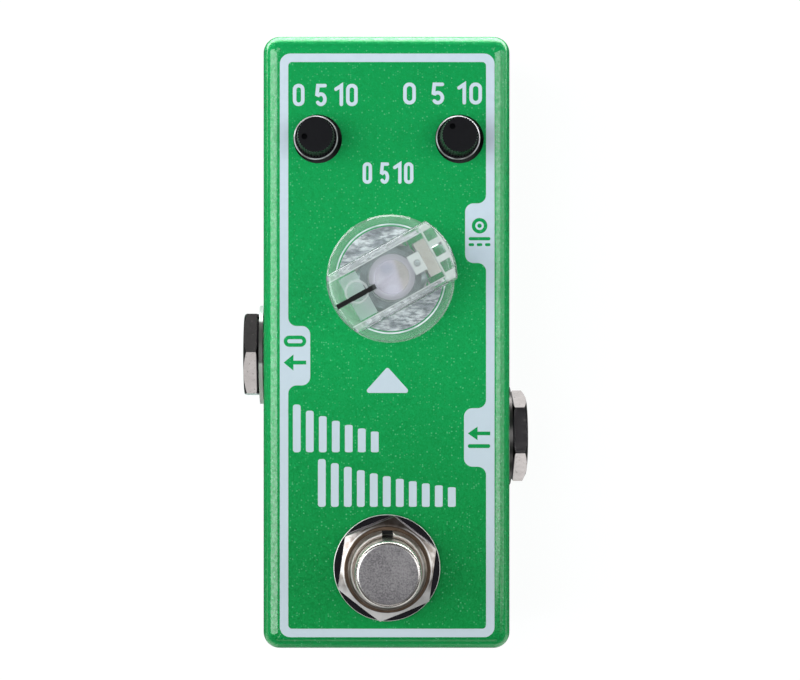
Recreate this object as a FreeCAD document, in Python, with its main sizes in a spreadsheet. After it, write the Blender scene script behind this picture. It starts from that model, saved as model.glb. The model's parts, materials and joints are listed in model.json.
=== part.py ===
import FreeCAD
import Part
import math
import os
import re
import Sketcher

# A mini guitar delay pedal: die-cast case, three pots with knobs, footswitch, two audio jacks and DC inlet.
# Frame: origin under the middle of the case, on the plane that the feet stand on.
# +Z is out of the face, +Y towards the end with the two small knobs, +X towards the input jack's side.

Vector = FreeCAD.Vector
Rotation = FreeCAD.Rotation
Placement = FreeCAD.Placement

# Driving sizes in mm and degrees. "across" sizes are across flats, "radius" sizes are true radii.
SIZES = [
    ("case_width", 38.0, "across the face"),
    ("case_length", 94.5, "along the face"),
    ("case_height", 31.0, "shell, rim to face"),
    ("case_draft", 1.0, "degrees, all four walls"),
    ("case_corner", 3.0, "upright corners"),
    ("case_edge", 2.2, "rounding round the face"),
    ("wall", 2.0, "side walls"),
    ("roof", 2.4, "thickness under the face"),
    ("plate_thick", 2.0, "base plate"),
    ("plate_inset", 1.0, "rim left outside the base plate"),
    ("plate_gap", 0.15, "play round the base plate"),
    ("boss_inset", 4.4, "screw from the case's outside"),
    ("boss_radius", 2.6, "screw boss"),
    ("screw_radius", 1.2, "base screw's shank"),
    ("screw_length", 8.0, "base screw"),
    ("screw_head_radius", 2.3, "countersunk head"),
    ("screw_head_depth", 1.3, "countersunk head"),
    ("cross_long", 2.6, "screw's cross recess"),
    ("cross_wide", 0.55, "screw's cross recess"),
    ("cross_deep", 0.9, "screw's cross recess"),
    ("screw_play", 0.05, "tapped hole's clearance"),
    ("foot_radius", 4.5, "rubber foot"),
    ("foot_height", 1.6, "rubber foot"),
    ("foot_edge", 0.5, "foot's lower edge"),
    ("foot_inset_across", 8.5, "foot's middle from the case's side"),
    ("foot_inset_along", 16.0, "foot's middle from the case's end"),
    ("board_thick", 1.6, "both circuit boards"),
    ("board_gap", 0.5, "board to case wall"),
    ("jack_depth", 15.0, "audio jack's axis under the face"),
    ("jack_standoff", 0.2, "main board below the moulded body's half width"),
    ("jack_spacing", 0.6, "between the two moulded bodies"),
    ("jack_body_wall", 1.45, "moulded body outside the bushing"),
    ("jack_body_length", 23.0, "moulded body"),
    ("jack_bore", 3.25, "radius, takes a 6.35 mm plug"),
    ("jack_bore_depth", 20.0, "in the moulded body"),
    ("jack_bushing_wall", 1.5, "threaded bushing"),
    ("jack_bushing_reach", 0.05, "beyond its nut"),
    ("jack_nut_wall", 1.6, "hex nut, bushing to flat"),
    ("jack_nut_thick", 2.5, "hex nut"),
    ("jack_nut_crown", 0.05, "hex nut's round face inside its flats"),
    ("output_nut_turn", 3.5, "degrees, output jack's nut"),
    ("input_nut_turn", 20.0, "degrees, input jack's nut"),
    ("jack_washer_wide", 3.15, "dress washer, bushing to rim"),
    ("jack_washer_thick", 0.6, "dress washer"),
    ("inlet_along", 7.1, "DC inlet beyond the time knob"),
    ("inlet_width", 9.0, "moulded body"),
    ("inlet_height", 10.2, "moulded body"),
    ("inlet_length", 12.5, "moulded body"),
    ("inlet_bore", 2.85, "radius, takes a 5.5 mm plug"),
    ("inlet_nose", 3.9, "radius of the round nose"),
    ("inlet_nose_in", 0.3, "nose inside the wall's outer face"),
    ("inlet_pin", 1.0, "radius, takes a 2.1 mm hole"),
    ("time_x", 0.5, "time knob's axis"),
    ("time_inset", 37.55, "time knob's axis from the top end"),
    ("time_turn", 29.0, "degrees, grip's rest angle"),
    ("skirt_radius", 9.75, "clear knob"),
    ("skirt_lip", 1.2, "clear knob"),
    ("skirt_roof", 1.1, "clear knob's skirt over its recess"),
    ("skirt_edge", 0.3, "skirt's bevelled top edge"),
    ("grip_clear", 0.25, "clear knob's grip round the bushing"),
    ("grip_top", 12.4, "over the face"),
    ("grip_wall", 1.2, "clear knob"),
    ("grip_roof", 1.8, "clear knob"),
    ("grip_edge", 0.8, "grip's rounded top edge"),
    ("ejector_radius", 1.65, "round mark inside the grip"),
    ("ejector_at", 5.7, "from the axis"),
    ("ejector_deep", 0.12, "round mark inside the grip"),
    ("hub_wall", 0.43, "clear knob's hub round the shaft"),
    ("knob_clear", 0.5, "clear knob over its nut and bushing"),
    ("pointer_start", 3.3, "from the axis"),
    ("pointer_margin", 0.45, "pointer's end from the skirt's rim"),
    ("pointer_width", 0.66, "black inlay"),
    ("pointer_deep", 0.3, "black inlay"),
    ("insert_away", 1.7, "square nut, from the hub"),
    ("insert_thick", 1.9, "square nut"),
    ("insert_width", 5.6, "square nut"),
    ("set_screw_radius", 1.3, "set screw"),
    ("set_screw_reach", 0.1, "set screw beyond its nut"),
    ("set_screw_key", 1.3, "hexagon socket"),
    ("set_screw_height", 7.2, "over the face"),
    ("rib", 0.7, "knob's inner ribs"),
    ("rib_away", 0.15, "rib behind the left pocket, from the hub"),
    ("cage_wall", 0.25, "between the square nut and the windows"),
    ("panel_edge", 0.28, "frosted panel inside the left pocket's sides"),
    ("panel_end", 7.2, "frosted panel's far end from the axis"),
    ("panel_deep", 0.1, "frosted panel"),
    ("window_width", 1.7, "middle one of the three windows outside the square nut"),
    ("knob_gap", 0.5, "knobs over the face"),
    ("pot_height", 6.8, "pot's body"),
    ("pot_width", 9.6, "pot's body"),
    ("pot_length", 10.0, "pot's body"),
    ("time_bushing_wall", 0.44, "threaded bushing"),
    ("time_bushing_top", 4.1, "over the face"),
    ("time_shaft", 3.0, "radius"),
    ("time_shaft_top", 10.2, "over the face"),
    ("time_nut_wall", 1.5, "hex nut, bushing to flat"),
    ("time_nut_thick", 1.9, "hex nut"),
    ("time_nut_crown", 0.3, "hex nut's round face inside its flats"),
    ("time_washer_wide", 2.1, "washer, bushing to rim"),
    ("time_washer_thick", 0.5, "washer"),
    ("small_inset_across", 8.09, "small knob from the face's side"),
    ("small_inset_along", 15.85, "small knob from the top end"),
    ("small_hole", 3.75, "radius, leaves room round the knob's flange"),
    ("small_hole_across", 0.27, "hole off the knob's axis, to the input side"),
    ("small_hole_along", 0.1, "hole off the knob's axis, to the bottom end"),
    ("small_ledge", 0.42, "knob's flange outside the grip's foot"),
    ("small_bevel", 0.25, "flange's polished edge"),
    ("small_rim_top", 1.2, "over the face"),
    ("small_cap", 1.15, "small knob's top over its shaft"),
    ("small_cap_wall", 1.0, "grip's foot outside the shaft"),
    ("small_grip_lean", 0.14, "grip's top inside its foot, as a share of its radius"),
    ("teeth", 40, "round the small knob's grip"),
    ("tooth_deep", 0.16, "small knob's grip"),
    ("small_top", 6.2, "over the face"),
    ("small_shaft", 2.0, "radius"),
    ("small_collar_wall", 1.14, "pot's collar round the shaft"),
    ("small_collar_top", -0.3, "over the face"),
    ("small_core", 0.3, "knob's turned core inside its grip, each way"),
    ("dimple_radius", 0.45, "pointer mark"),
    ("dimple_at", 1.68, "from the axis"),
    ("dimple_deep", 0.35, "pointer mark"),
    ("level_turn", 189.5, "degrees, mark's rest angle"),
    ("repeat_turn", 131.0, "degrees, mark's rest angle"),
    ("running_gap", 0.06, "shaft in its bearing, radial"),
    ("press_gap", 0.02, "knob on its shaft, radial"),
    ("hole_gap", 0.1, "bushing in the case, radial"),
    ("light_ahead", 6.6, "status light from the time knob"),
    ("light_radius", 1.0, "status light"),
    ("light_flange", 0.3, "lens's collar under the face"),
    ("light_dome", 0.45, "lens's bevelled end"),
    ("switch_inset", 12.65, "footswitch from the bottom end"),
    ("switch_width", 17.0, "housing, both ways"),
    ("switch_height", 11.0, "housing"),
    ("switch_bushing_wall", 0.94, "threaded bushing"),
    ("switch_bushing_top", 5.4, "over the face"),
    ("switch_washer_wide", 2.2, "dress washer, bushing to rim"),
    ("switch_washer_thick", 0.9, "dress washer"),
    ("switch_nut_wall", 1.0, "hex nuts, bushing to flat"),
    ("switch_nut_thick", 2.6, "outer hex nut"),
    ("switch_nut_crown", 0.5, "hex nuts' round face inside their flats"),
    ("switch_nut_turn", 22.3, "degrees, outer nut"),
    ("inner_nut_thick", 2.2, "inner hex nut"),
    ("lock_washer_wide", 1.6, "lock washer, bushing to rim"),
    ("lock_washer_thick", 0.6, "lock washer"),
    ("key_width", 1.7, "bushing's key slot"),
    ("key_deep", 5.0, "bushing's key slot"),
    ("button_radius", 5.0, "footswitch button"),
    ("button_edge", 0.7, "button's rounded edge"),
    ("button_top", 10.8, "over the face"),
    ("button_foot", 1.4, "under the face"),
    ("button_travel", 2.0, "downwards, also the room left under the stem"),
    ("stem_radius", 1.8, "button's stem"),
    ("stem_length", 7.0, "button's stem"),
    ("spring_wire", 0.25, "return spring's wire, radius"),
    ("spring_turns", 3, "return spring"),
]
CELLS = {name for name, number, note in SIZES}

# Places worked out from the driving sizes. Heights are over the plane that the feet stand on.
WORKED_OUT = {
    "jack_bushing_radius": "jack_bore + jack_bushing_wall",
    "jack_body_width": "2 * (jack_bushing_radius + jack_body_wall)",
    "jack_above_board": "jack_body_width / 2 + jack_standoff",
    "jack_nut_across": "2 * (jack_bushing_radius + jack_nut_wall)",
    "jack_washer_radius": "jack_bushing_radius + jack_washer_wide",
    "time_bushing_radius": "time_shaft + running_gap + time_bushing_wall",
    "time_nut_across": "2 * (time_bushing_radius + time_nut_wall)",
    "time_washer_radius": "time_bushing_radius + time_washer_wide",
    "skirt_ceiling": "time_washer_thick + time_nut_thick + knob_clear",
    "skirt_top": "skirt_ceiling + skirt_roof",
    "grip_width": "2 * (time_bushing_radius + grip_clear + grip_wall)",
    "hub_radius": "time_shaft + press_gap + hub_wall",
    "hub_bottom": "time_bushing_top + knob_clear",
    "pointer_end": "skirt_radius - pointer_margin",
    "insert_near": "hub_radius + insert_away",
    "set_screw_end": "insert_near + insert_thick + set_screw_reach",
    "small_collar": "small_shaft + running_gap + small_collar_wall",
    "small_grip": "small_shaft + small_cap_wall",
    "small_rim": "small_grip + small_ledge",
    "small_grip_end": "small_grip * (1 - small_grip_lean)",
    "switch_bushing": "button_radius + running_gap + switch_bushing_wall",
    "switch_nut_across": "2 * (switch_bushing + switch_nut_wall)",
    "switch_washer_radius": "switch_bushing + switch_washer_wide",
    "lock_washer_radius": "switch_bushing + lock_washer_wide",
    "spring_radius": "(stem_radius + button_radius) / 2",
    "half_width": "case_width / 2",
    "half_length": "case_length / 2",
    "splay": "case_height * tan(case_draft * 1 deg)",
    "base_half_width": "half_width + splay",
    "base_half_length": "half_length + splay",
    "rim_z": "foot_height",
    "face_z": "foot_height + case_height",
    "ceiling_z": "face_z - roof",
    "boss_x": "base_half_width - boss_inset",
    "boss_y": "base_half_length - boss_inset",
    "jack_z": "face_z - jack_depth",
    "main_board_z": "jack_z - jack_above_board",
    "control_board_z": "ceiling_z - pot_height",
    "board_half_width": "half_width - wall - board_gap",
    "board_half_length": "half_length - wall - board_gap",
    "board_notch_x": "boss_x - boss_radius - board_gap",
    "board_notch_y": "boss_y - boss_radius - board_gap",
    "time_y": "half_length - time_inset",
    "small_x": "half_width - small_inset_across",
    "small_y": "half_length - small_inset_along",
    "switch_y": "switch_inset - half_length",
    "output_y": "time_y - pot_length / 2 - jack_body_width / 2 - board_gap",
    "input_y": "output_y - jack_body_width - jack_spacing",
    "inlet_y": "time_y + inlet_along",
    "light_y": "time_y + light_ahead",
    "control_board_y": "time_y - pot_length / 2",
    "wall_at_jack": "half_width + jack_depth * tan(case_draft * 1 deg)",
    "jack_inner": "half_width - wall",
    "jack_washer_at": "wall_at_jack + jack_washer_radius * tan(case_draft * 1 deg)",
    "jack_nut_at": "jack_washer_at + jack_washer_thick",
    "jack_end": "jack_nut_at + jack_nut_thick + jack_bushing_reach",
    "housing_top_z": "ceiling_z - lock_washer_thick - inner_nut_thick",
    "housing_z": "housing_top_z - switch_height",
}

doc = FreeCAD.newDocument("mini_delay_pedal")
sheet = doc.addObject("Spreadsheet::Sheet", "Sizes")
for row, (name, number, note) in enumerate(SIZES, start=1):
    sheet.set("A%d" % row, name)
    sheet.set("B%d" % row, str(number))
    sheet.set("C%d" % row, note)
    sheet.setAlias("B%d" % row, name)
doc.recompute()

nodes = {}


def formula(text):
    """Turns a size's or place's name into a reference to the sheet, or to the formula behind it."""
    def swap(match):
        word = match.group(0)
        if word in WORKED_OUT:
            return "(" + formula(WORKED_OUT[word]) + ")"
        return "Sizes." + word if word in CELLS else word
    return re.sub(r"[a-z][a-z_]+", swap, str(text))


def size(text):
    """The number that a formula gives now."""
    number = sheet.evalExpression(formula(text))
    return float(getattr(number, "Value", number))


def bind(thing, **sizes):
    """Ties an object's properties to formulas of the sheet's cells."""
    for prop, text in sizes.items():
        thing.setExpression(prop, formula(text))
    return thing


def place(thing, x="0", y="0", z="0", turn=None):
    """Puts an object at a place, turned about Z by a named angle."""
    thing.setExpression("Placement.Base.x", formula(x))
    thing.setExpression("Placement.Base.y", formula(y))
    thing.setExpression("Placement.Base.z", formula(z))
    if turn:
        thing.setExpression("Placement.Rotation.Angle", formula("(%s) * 1 deg" % turn))
    return thing


def node(thing, label):
    """Hands an object in as a sub-part under its own name."""
    thing.Label = label
    nodes[label] = thing
    return thing


# ---- sketches and bodies ----

def new_body(name):
    return doc.addObject("PartDesign::Body", name)


def origin_plane(body, role):
    return [item for item in body.Origin.OriginFeatures if item.Role == role][0]


def new_sketch(body, name, role="XY_Plane", height=None):
    """A sketch on one of the body's own planes, lifted off it by a formula."""
    sketch = body.newObject("Sketcher::SketchObject", name)
    sketch.AttachmentSupport = (origin_plane(body, role), [""])
    sketch.MapMode = "FlatFace"
    if height:
        sketch.setExpression("AttachmentOffset.Base.z", formula(height))
    return sketch


def fix_point(sketch, geometry, point, across, up):
    """Holds one sketch point at a place given by two formulas."""
    for axis, text, line in (("X", across, -2), ("Y", up, -1)):
        number = size(text)
        if abs(number) < 1e-9:
            sketch.addConstraint(Sketcher.Constraint("PointOnObject", geometry, point, line))
            continue
        index = sketch.addConstraint(Sketcher.Constraint("Distance" + axis, geometry, point, number))
        label = "%s%d_%d" % (axis.lower(), geometry, point)
        sketch.renameConstraint(index, label)
        sketch.setExpression("Constraints." + label, formula(text))


def draw_polygon(sketch, corners):
    """A closed outline through corners given as pairs of formulas."""
    first = sketch.GeometryCount
    spots = [Vector(size(across), size(up), 0) for across, up in corners]
    for spot, following in zip(spots, spots[1:] + spots[:1]):
        sketch.addGeometry(Part.LineSegment(spot, following))
    for step, (across, up) in enumerate(corners):
        fix_point(sketch, first + step, 1, across, up)
        after = first + (step + 1) % len(corners)
        sketch.addConstraint(Sketcher.Constraint("Coincident", first + step, 2, after, 1))


def draw_circles(sketch, circles):
    """Circles given as (across, up, radius) formulas."""
    for across, up, radius in circles:
        middle = Vector(size(across), size(up), 0)
        index = sketch.addGeometry(Part.Circle(middle, Vector(0, 0, 1), size(radius)))
        fix_point(sketch, index, 3, across, up)
        bound = sketch.addConstraint(Sketcher.Constraint("Radius", index, size(radius)))
        sketch.renameConstraint(bound, "radius%d" % index)
        sketch.setExpression("Constraints.radius%d" % index, formula(radius))


def rectangle(half_across, half_up, across="0", up="0"):
    """A rectangle's corners about a middle point."""
    signs = ((-1, -1), (1, -1), (1, 1), (-1, 1))
    return [("(%s) + %d * (%s)" % (across, a, half_across),
             "(%s) + %d * (%s)" % (up, b, half_up)) for a, b in signs]


def span(near, far, low, high):
    """A rectangle's corners between two places each way."""
    return [(near, low), (far, low), (far, high), (near, high)]


def pad(body, sketch, length, taper=None, reversed_way=False):
    feature = body.newObject("PartDesign::Pad", sketch.Name + "_pad")
    feature.Profile = sketch
    feature.Reversed = reversed_way
    bind(feature, Length=length)
    if taper:
        bind(feature, TaperAngle=taper)
    doc.recompute()
    return feature


def pocket(body, sketch, length=None, taper=None, up=True):
    """Cuts along the sketch's normal, or against it, and makes sure that something was cut."""
    before = body.Shape.Volume
    feature = body.newObject("PartDesign::Pocket", sketch.Name + "_pocket")
    feature.Profile = sketch
    feature.Reversed = up
    if length:
        bind(feature, Length=length)
    else:
        feature.Type = "ThroughAll"
    if taper:
        bind(feature, TaperAngle=taper)
    doc.recompute()
    if body.Shape.Volume > before - 1e-4:
        raise ValueError(feature.Name + " cuts nothing")
    return feature


def round_edges(body, radius, wanted):
    """Rounds the edges of the body's last feature that a test picks."""
    base = body.Tip
    names = ["Edge%d" % n for n, edge in enumerate(base.Shape.Edges, start=1) if wanted(edge)]
    feature = body.newObject("PartDesign::Fillet", base.Name + "_round")
    feature.Base = (base, names)
    bind(feature, Radius=radius)
    doc.recompute()
    return feature


def draft_walls(body, angle):
    """Leans every upright face of the last feature inwards from the body's XY plane."""
    base = body.Tip
    tall = 0.9 * base.Shape.BoundBox.ZLength
    faces = enumerate(base.Shape.Faces, start=1)
    names = ["Face%d" % n for n, face in faces if face.BoundBox.ZLength > tall]
    feature = body.newObject("PartDesign::Draft", base.Name + "_draft")
    feature.Base = (base, names)
    feature.NeutralPlane = (origin_plane(body, "XY_Plane"), [""])
    bind(feature, Angle=angle)
    doc.recompute()
    return feature


def turned(name, profile):
    """A body turned about Z from (radius, height) formulas."""
    body = new_body(name)
    sketch = new_sketch(body, name + "_profile", "XZ_Plane")
    draw_polygon(sketch, profile)
    feature = body.newObject("PartDesign::Revolution", name + "_turn")
    feature.Profile = sketch
    feature.ReferenceAxis = (sketch, ["V_Axis"])
    feature.Angle = 360
    doc.recompute()
    return body


def ring(inner, outer, low, high):
    """The profile of a plain ring or tube."""
    return span(inner, outer, low, high)


def plate(name, corners, thickness):
    """A body padded up from an outline."""
    body = new_body(name)
    sketch = new_sketch(body, name + "_outline")
    draw_polygon(sketch, corners)
    pad(body, sketch, thickness)
    return body


def block(name, low, length, width, height):
    """A box from its low corner."""
    box = bind(doc.addObject("Part::Box", name), Length=length, Width=width, Height=height)
    return place(box, *low)


def rod(name, x, y, z, radius, height):
    item = bind(doc.addObject("Part::Cylinder", name), Radius=radius, Height=height)
    return place(item, x, y, z)


def cut(name, base, tool):
    result = doc.addObject("Part::Cut", name)
    result.Base = base
    result.Tool = tool
    return result


def fuse(name, pieces):
    result = doc.addObject("Part::MultiFuse", name)
    result.Shapes = pieces
    return result


def group(name, pieces):
    """Separate solids handed in as one sub-part."""
    result = doc.addObject("Part::Compound", name)
    result.Links = pieces
    return result


def hex_nut(name, across, thickness, bore, crown, low="0", turn=None):
    """A hex nut on Z with its corners turned off at both faces, standing at a height."""
    prism = doc.addObject("Part::Prism", name + "_hex")
    prism.Polygon = 6
    bind(prism, Circumradius="(%s) / 2 / cos(30 deg)" % across, Height=thickness)
    place(prism, z=low, turn=turn)
    corner = "(%s) / 2 / cos(30 deg) + 0.1" % across
    face = "(%s) / 2 - (%s)" % (across, crown)
    drop = "((%s) - (%s)) / 2" % (corner, face)
    top = "(%s) + (%s)" % (low, thickness)
    cone = turned(name + "_crowns", [
        ("0", low), (face, low), (corner, "(%s) + %s" % (low, drop)), (corner, "(%s) - %s" % (top, drop)),
        (face, top), ("0", top)])
    shaped = doc.addObject("Part::Common", name + "_shaped")
    shaped.Base = prism
    shaped.Tool = cone
    hole = rod(name + "_hole", "0", "0", "(%s) - 1" % low, bore, "(%s) + 2" % thickness)
    return cut(name, shaped, hole)


# ---- case ----

def is_upright(edge):
    box = edge.BoundBox
    return box.ZLength > 0.9 * size("case_height - roof")


def is_face_edge(edge):
    return edge.BoundBox.ZMin > size("case_height") - 1e-6


def is_cavity_upright(edge):
    box = edge.BoundBox
    inside = max(abs(box.YMin), abs(box.YMax)) < size("base_half_length - wall") + 1e-3
    return inside and box.ZLength > 0.9 * size("case_height - roof")


def is_plate_corner(edge):
    """True for an upright edge at one of the base plate's four corners, or its rebate's."""
    box = edge.BoundBox
    upright = max(box.XLength, box.YLength) < 1e-3
    across = abs(box.Center.x) - size("base_half_width - plate_inset - 0.3")
    along = abs(box.Center.y) - size("base_half_length - plate_inset - 0.3")
    return upright and min(across, along) > 0


def corner_spots(half_across, half_up):
    return [("%d * (%s)" % (a, half_across), "%d * (%s)" % (b, half_up)) for a in (-1, 1) for b in (-1, 1)]


def case_shell():
    """Die-cast shell, open at the bottom, with a rebate for the base plate and four screw bosses."""
    body = new_body("case_shell")
    outside = new_sketch(body, "case_outside")
    draw_polygon(outside, rectangle("base_half_width", "base_half_length"))
    pad(body, outside, "case_height")
    round_edges(body, "case_corner", is_upright)
    draft_walls(body, "case_draft")
    round_edges(body, "case_edge", is_face_edge)
    inside = new_sketch(body, "case_inside")
    draw_polygon(inside, rectangle("base_half_width - wall", "base_half_length - wall"))
    pocket(body, inside, "case_height - roof", taper="-case_draft")
    round_edges(body, "case_corner - wall + 0.2", is_cavity_upright)
    bosses = new_sketch(body, "case_bosses", height="plate_thick")
    draw_circles(bosses, [(x, y, "boss_radius") for x, y in corner_spots("boss_x", "boss_y")])
    pad(body, bosses, "case_height - roof - plate_thick")
    taps = new_sketch(body, "case_taps", height="plate_thick")
    draw_circles(taps, [(x, y, "screw_radius + screw_play") for x, y in corner_spots("boss_x", "boss_y")])
    pocket(body, taps, "screw_length")
    rebate = new_sketch(body, "case_rebate")
    draw_polygon(rebate, rectangle("base_half_width - plate_inset", "base_half_length - plate_inset"))
    pocket(body, rebate, "plate_thick")
    round_edges(body, "case_corner - plate_inset", is_plate_corner)
    face_holes(body)
    side_holes(body)
    node(place(body, z="rim_z"), "case_shell")


def face_holes(body):
    sketch = new_sketch(body, "case_face_holes", height="case_height - roof - 0.5")
    draw_circles(sketch, [
        ("time_x", "time_y", "time_bushing_radius + hole_gap"),
        ("small_hole_across - small_x", "small_y - small_hole_along", "small_hole"),
        ("small_hole_across + small_x", "small_y - small_hole_along", "small_hole"),
        ("time_x", "light_y", "light_radius + hole_gap"),
        ("0", "switch_y", "switch_bushing + hole_gap")])
    pocket(body, sketch)


def side_holes(body):
    height = "case_height - jack_depth"
    left = new_sketch(body, "case_left_hole", "YZ_Plane")
    draw_circles(left, [("output_y", height, "jack_bushing_radius + hole_gap")])
    pocket(body, left, up=False)
    right = new_sketch(body, "case_right_holes", "YZ_Plane")
    draw_circles(right, [("input_y", height, "jack_bushing_radius + hole_gap"),
                         ("inlet_y", height, "inlet_nose + hole_gap")])
    pocket(body, right)


def base_plate():
    """Flat plate let into the shell's rim, countersunk for its four screws."""
    half_x = "base_half_width - plate_inset - plate_gap"
    half_y = "base_half_length - plate_inset - plate_gap"
    body = plate("base_plate", rectangle(half_x, half_y), "plate_thick")
    round_edges(body, "case_corner - plate_inset - plate_gap", is_plate_corner)
    spots = corner_spots("boss_x", "boss_y")
    holes = new_sketch(body, "base_plate_holes")
    draw_circles(holes, [(x, y, "screw_radius + hole_gap") for x, y in spots])
    pocket(body, holes)
    sinks = new_sketch(body, "base_plate_sinks")
    draw_circles(sinks, [(x, y, "screw_head_radius + hole_gap") for x, y in spots])
    pocket(body, sinks, "screw_head_depth")
    node(place(body, z="rim_z"), "base_plate")


def base_screws():
    screws = []
    for number, (x, y) in enumerate(corner_spots("boss_x", "boss_y")):
        screw = turned("screw_%d" % number, [
            ("0", "0"), ("screw_head_radius", "0"), ("screw_radius", "screw_head_depth"),
            ("screw_radius", "screw_length"), ("0", "screw_length")])
        for way, (half_x, half_y) in enumerate((("cross_long", "cross_wide"), ("cross_wide", "cross_long"))):
            cross = new_sketch(screw, "cross_%d_%d" % (number, way))
            draw_polygon(cross, rectangle(half_x + " / 2", half_y + " / 2"))
            pocket(screw, cross, "cross_deep")
        screws.append(place(screw, x, y, "rim_z + screw_play"))
    node(group("base_screw_set", screws), "base_screws")


def rubber_feet():
    feet = []
    spots = corner_spots("base_half_width - foot_inset_across", "base_half_length - foot_inset_along")
    for number, (x, y) in enumerate(spots):
        foot = turned("foot_%d" % number, [
            ("0", "0"), ("foot_radius - foot_edge", "0"), ("foot_radius", "foot_edge"),
            ("foot_radius", "foot_height"), ("0", "foot_height")])
        feet.append(place(foot, x, y))
    node(group("foot_set", feet), "rubber_feet")


# ---- electronics ----

def notched(low):
    """A board's outline with its top corners, and bottom ones if it is that long, cut round the bosses."""
    right = [("board_half_width", "board_notch_y"), ("board_notch_x", "board_notch_y"),
             ("board_notch_x", "board_half_length")]
    left = [("-(%s)" % x, y) for x, y in reversed(right)]
    if low:
        return right + left + [("-board_half_width", low), ("board_half_width", low)]
    turned_round = [("-(%s)" % x, "-(%s)" % y) for x, y in right + left]
    return right + left + turned_round


def circuit_boards():
    main = plate("main_board", notched(None), "board_thick")
    node(place(main, z="main_board_z - board_thick"), "main_board")
    control = plate("control_board", notched("control_board_y"), "board_thick")
    node(place(control, z="control_board_z - board_thick"), "control_board")


def board_parts():
    """What stands on the main board under the control board, and the connector between the two."""
    between = "control_board_z - board_thick - main_board_z"
    socket = block("socket_block", ("-half_width + wall + 2", "time_y + 12", "main_board_z"),
                   "2.5", "13", "(%s) - 2.5" % between)
    node(socket, "connector_socket")
    under = "control_board_z - board_thick - 2.5"
    header = block("header_block", ("-half_width + wall + 2", "time_y + 12", under), "2.5", "13", "2.5")
    node(header, "connector_header")
    node(block("delay_chip_block", ("-6", "time_y - 2", "main_board_z"), "10", "10", "1.4"), "delay_chip")
    chips = [block("chip_%d" % n, ("-4", "time_y + 11 + %d * 7.5" % n, "main_board_z"), "6", "5", "1.6")
             for n in range(3)]
    node(group("chip_set", chips), "small_chips")
    cans = [rod("capacitor_%d" % n, "8.5", "time_y + 15 + %d * 6.5" % n, "main_board_z", "2.5", "7")
            for n in range(2)]
    node(group("capacitor_set", cans), "capacitors")


def pot_block(name, x, y):
    low = ("(%s) - pot_width / 2" % x, "(%s) - pot_length / 2" % y, "control_board_z")
    return block(name, low, "pot_width", "pot_length", "pot_height")


def pot_body(label, x, y, collar, collar_top, bore):
    """A pot's housing and collar in one, bored for its shaft."""
    housing = pot_block(label + "_housing", x, y)
    neck = rod(label + "_neck", x, y, "ceiling_z - 1", collar, "roof + 1 + (%s)" % collar_top)
    solid = fuse(label + "_solid", [housing, neck])
    hole = rod(label + "_hole", x, y, "control_board_z + 1.5", bore, "pot_height + roof + 20")
    node(cut(label + "_bored", solid, hole), label)


def time_pot():
    pot_body("time_pot_body", "time_x", "time_y", "time_bushing_radius", "time_bushing_top",
             "time_shaft + running_gap")
    washer = turned("time_washer", ring("time_bushing_radius + press_gap", "time_washer_radius",
                                        "0", "time_washer_thick"))
    node(place(washer, "time_x", "time_y", "face_z"), "time_pot_washer")
    nut = hex_nut("time_nut", "time_nut_across", "time_nut_thick", "time_bushing_radius + press_gap",
                  "time_nut_crown")
    node(place(nut, "time_x", "time_y", "face_z + time_washer_thick"), "time_pot_nut")
    shaft = rod("time_shaft_rod", "time_x", "time_y", "control_board_z + 1.7", "time_shaft",
                "face_z + time_shaft_top - control_board_z - 1.7")
    node(shaft, "time_pot_shaft")


def small_pots():
    for label, x in (("level", "-small_x"), ("repeat", "small_x")):
        pot_body(label + "_pot_body", x, "small_y", "small_collar", "small_collar_top",
                 "small_shaft + running_gap")
        shaft = rod(label + "_shaft_rod", x, "small_y", "control_board_z + 1.7", "small_shaft",
                    "face_z + small_top - small_cap - press_gap - control_board_z - 1.7")
        node(shaft, label + "_pot_shaft")


def status_light():
    flange = "light_radius + light_flange"
    lens = turned("light_lens", [
        ("0", "-1.9"), (flange, "-1.9"), (flange, "-1.2"), ("light_radius", "-1.2"),
        ("light_radius", "roof - light_dome - 0.05"), ("light_radius - light_dome", "roof - 0.05"),
        ("0", "roof - 0.05")])
    node(place(lens, "time_x", "light_y", "ceiling_z"), "status_light")
    legs = [block("light_leg_%d" % n, ("time_x - 0.85 + %d * 1.2" % n, "light_y - 0.25", "control_board_z"),
                  "0.5", "0.5", "pot_height - 1.9") for n in range(2)]
    node(group("light_leg_pair", legs), "status_light_legs")


# ---- jacks ----

def face_outwards(thing, sign, y):
    """Lays a piece that was made along +Z out along X, through one side wall."""
    thing.Placement = Placement(Vector(0, 0, 0), Rotation(Vector(0, 1, 0), 90 * sign))
    return place(thing, "0", y, "jack_z")


def audio_jack(label, sign, y, nut_turn):
    """A jack socket: plug goes in along X. Its heights are distances out from the case's middle plane."""
    flange = "jack_body_width / 2 - 0.1"
    bushing = turned(label + "_tube", [
        ("jack_bore", "jack_inner - 1"), (flange, "jack_inner - 1"), (flange, "jack_inner"),
        ("jack_bushing_radius", "jack_inner"), ("jack_bushing_radius", "jack_end - 0.4"),
        ("jack_bushing_radius - 0.4", "jack_end"), ("jack_bore", "jack_end")])
    node(face_outwards(bushing, sign, y), label + "_bushing")
    washer = turned(label + "_ring", ring("jack_bushing_radius + press_gap", "jack_washer_radius",
                                          "jack_washer_at", "jack_nut_at"))
    node(face_outwards(washer, sign, y), label + "_washer")
    nut = hex_nut(label + "_hexagon", "jack_nut_across", "jack_nut_thick",
                  "jack_bushing_radius + press_gap", "jack_nut_crown", "jack_nut_at", nut_turn)
    node(face_outwards(nut, sign, y), label + "_nut")
    audio_jack_body(label, sign, y)


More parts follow.
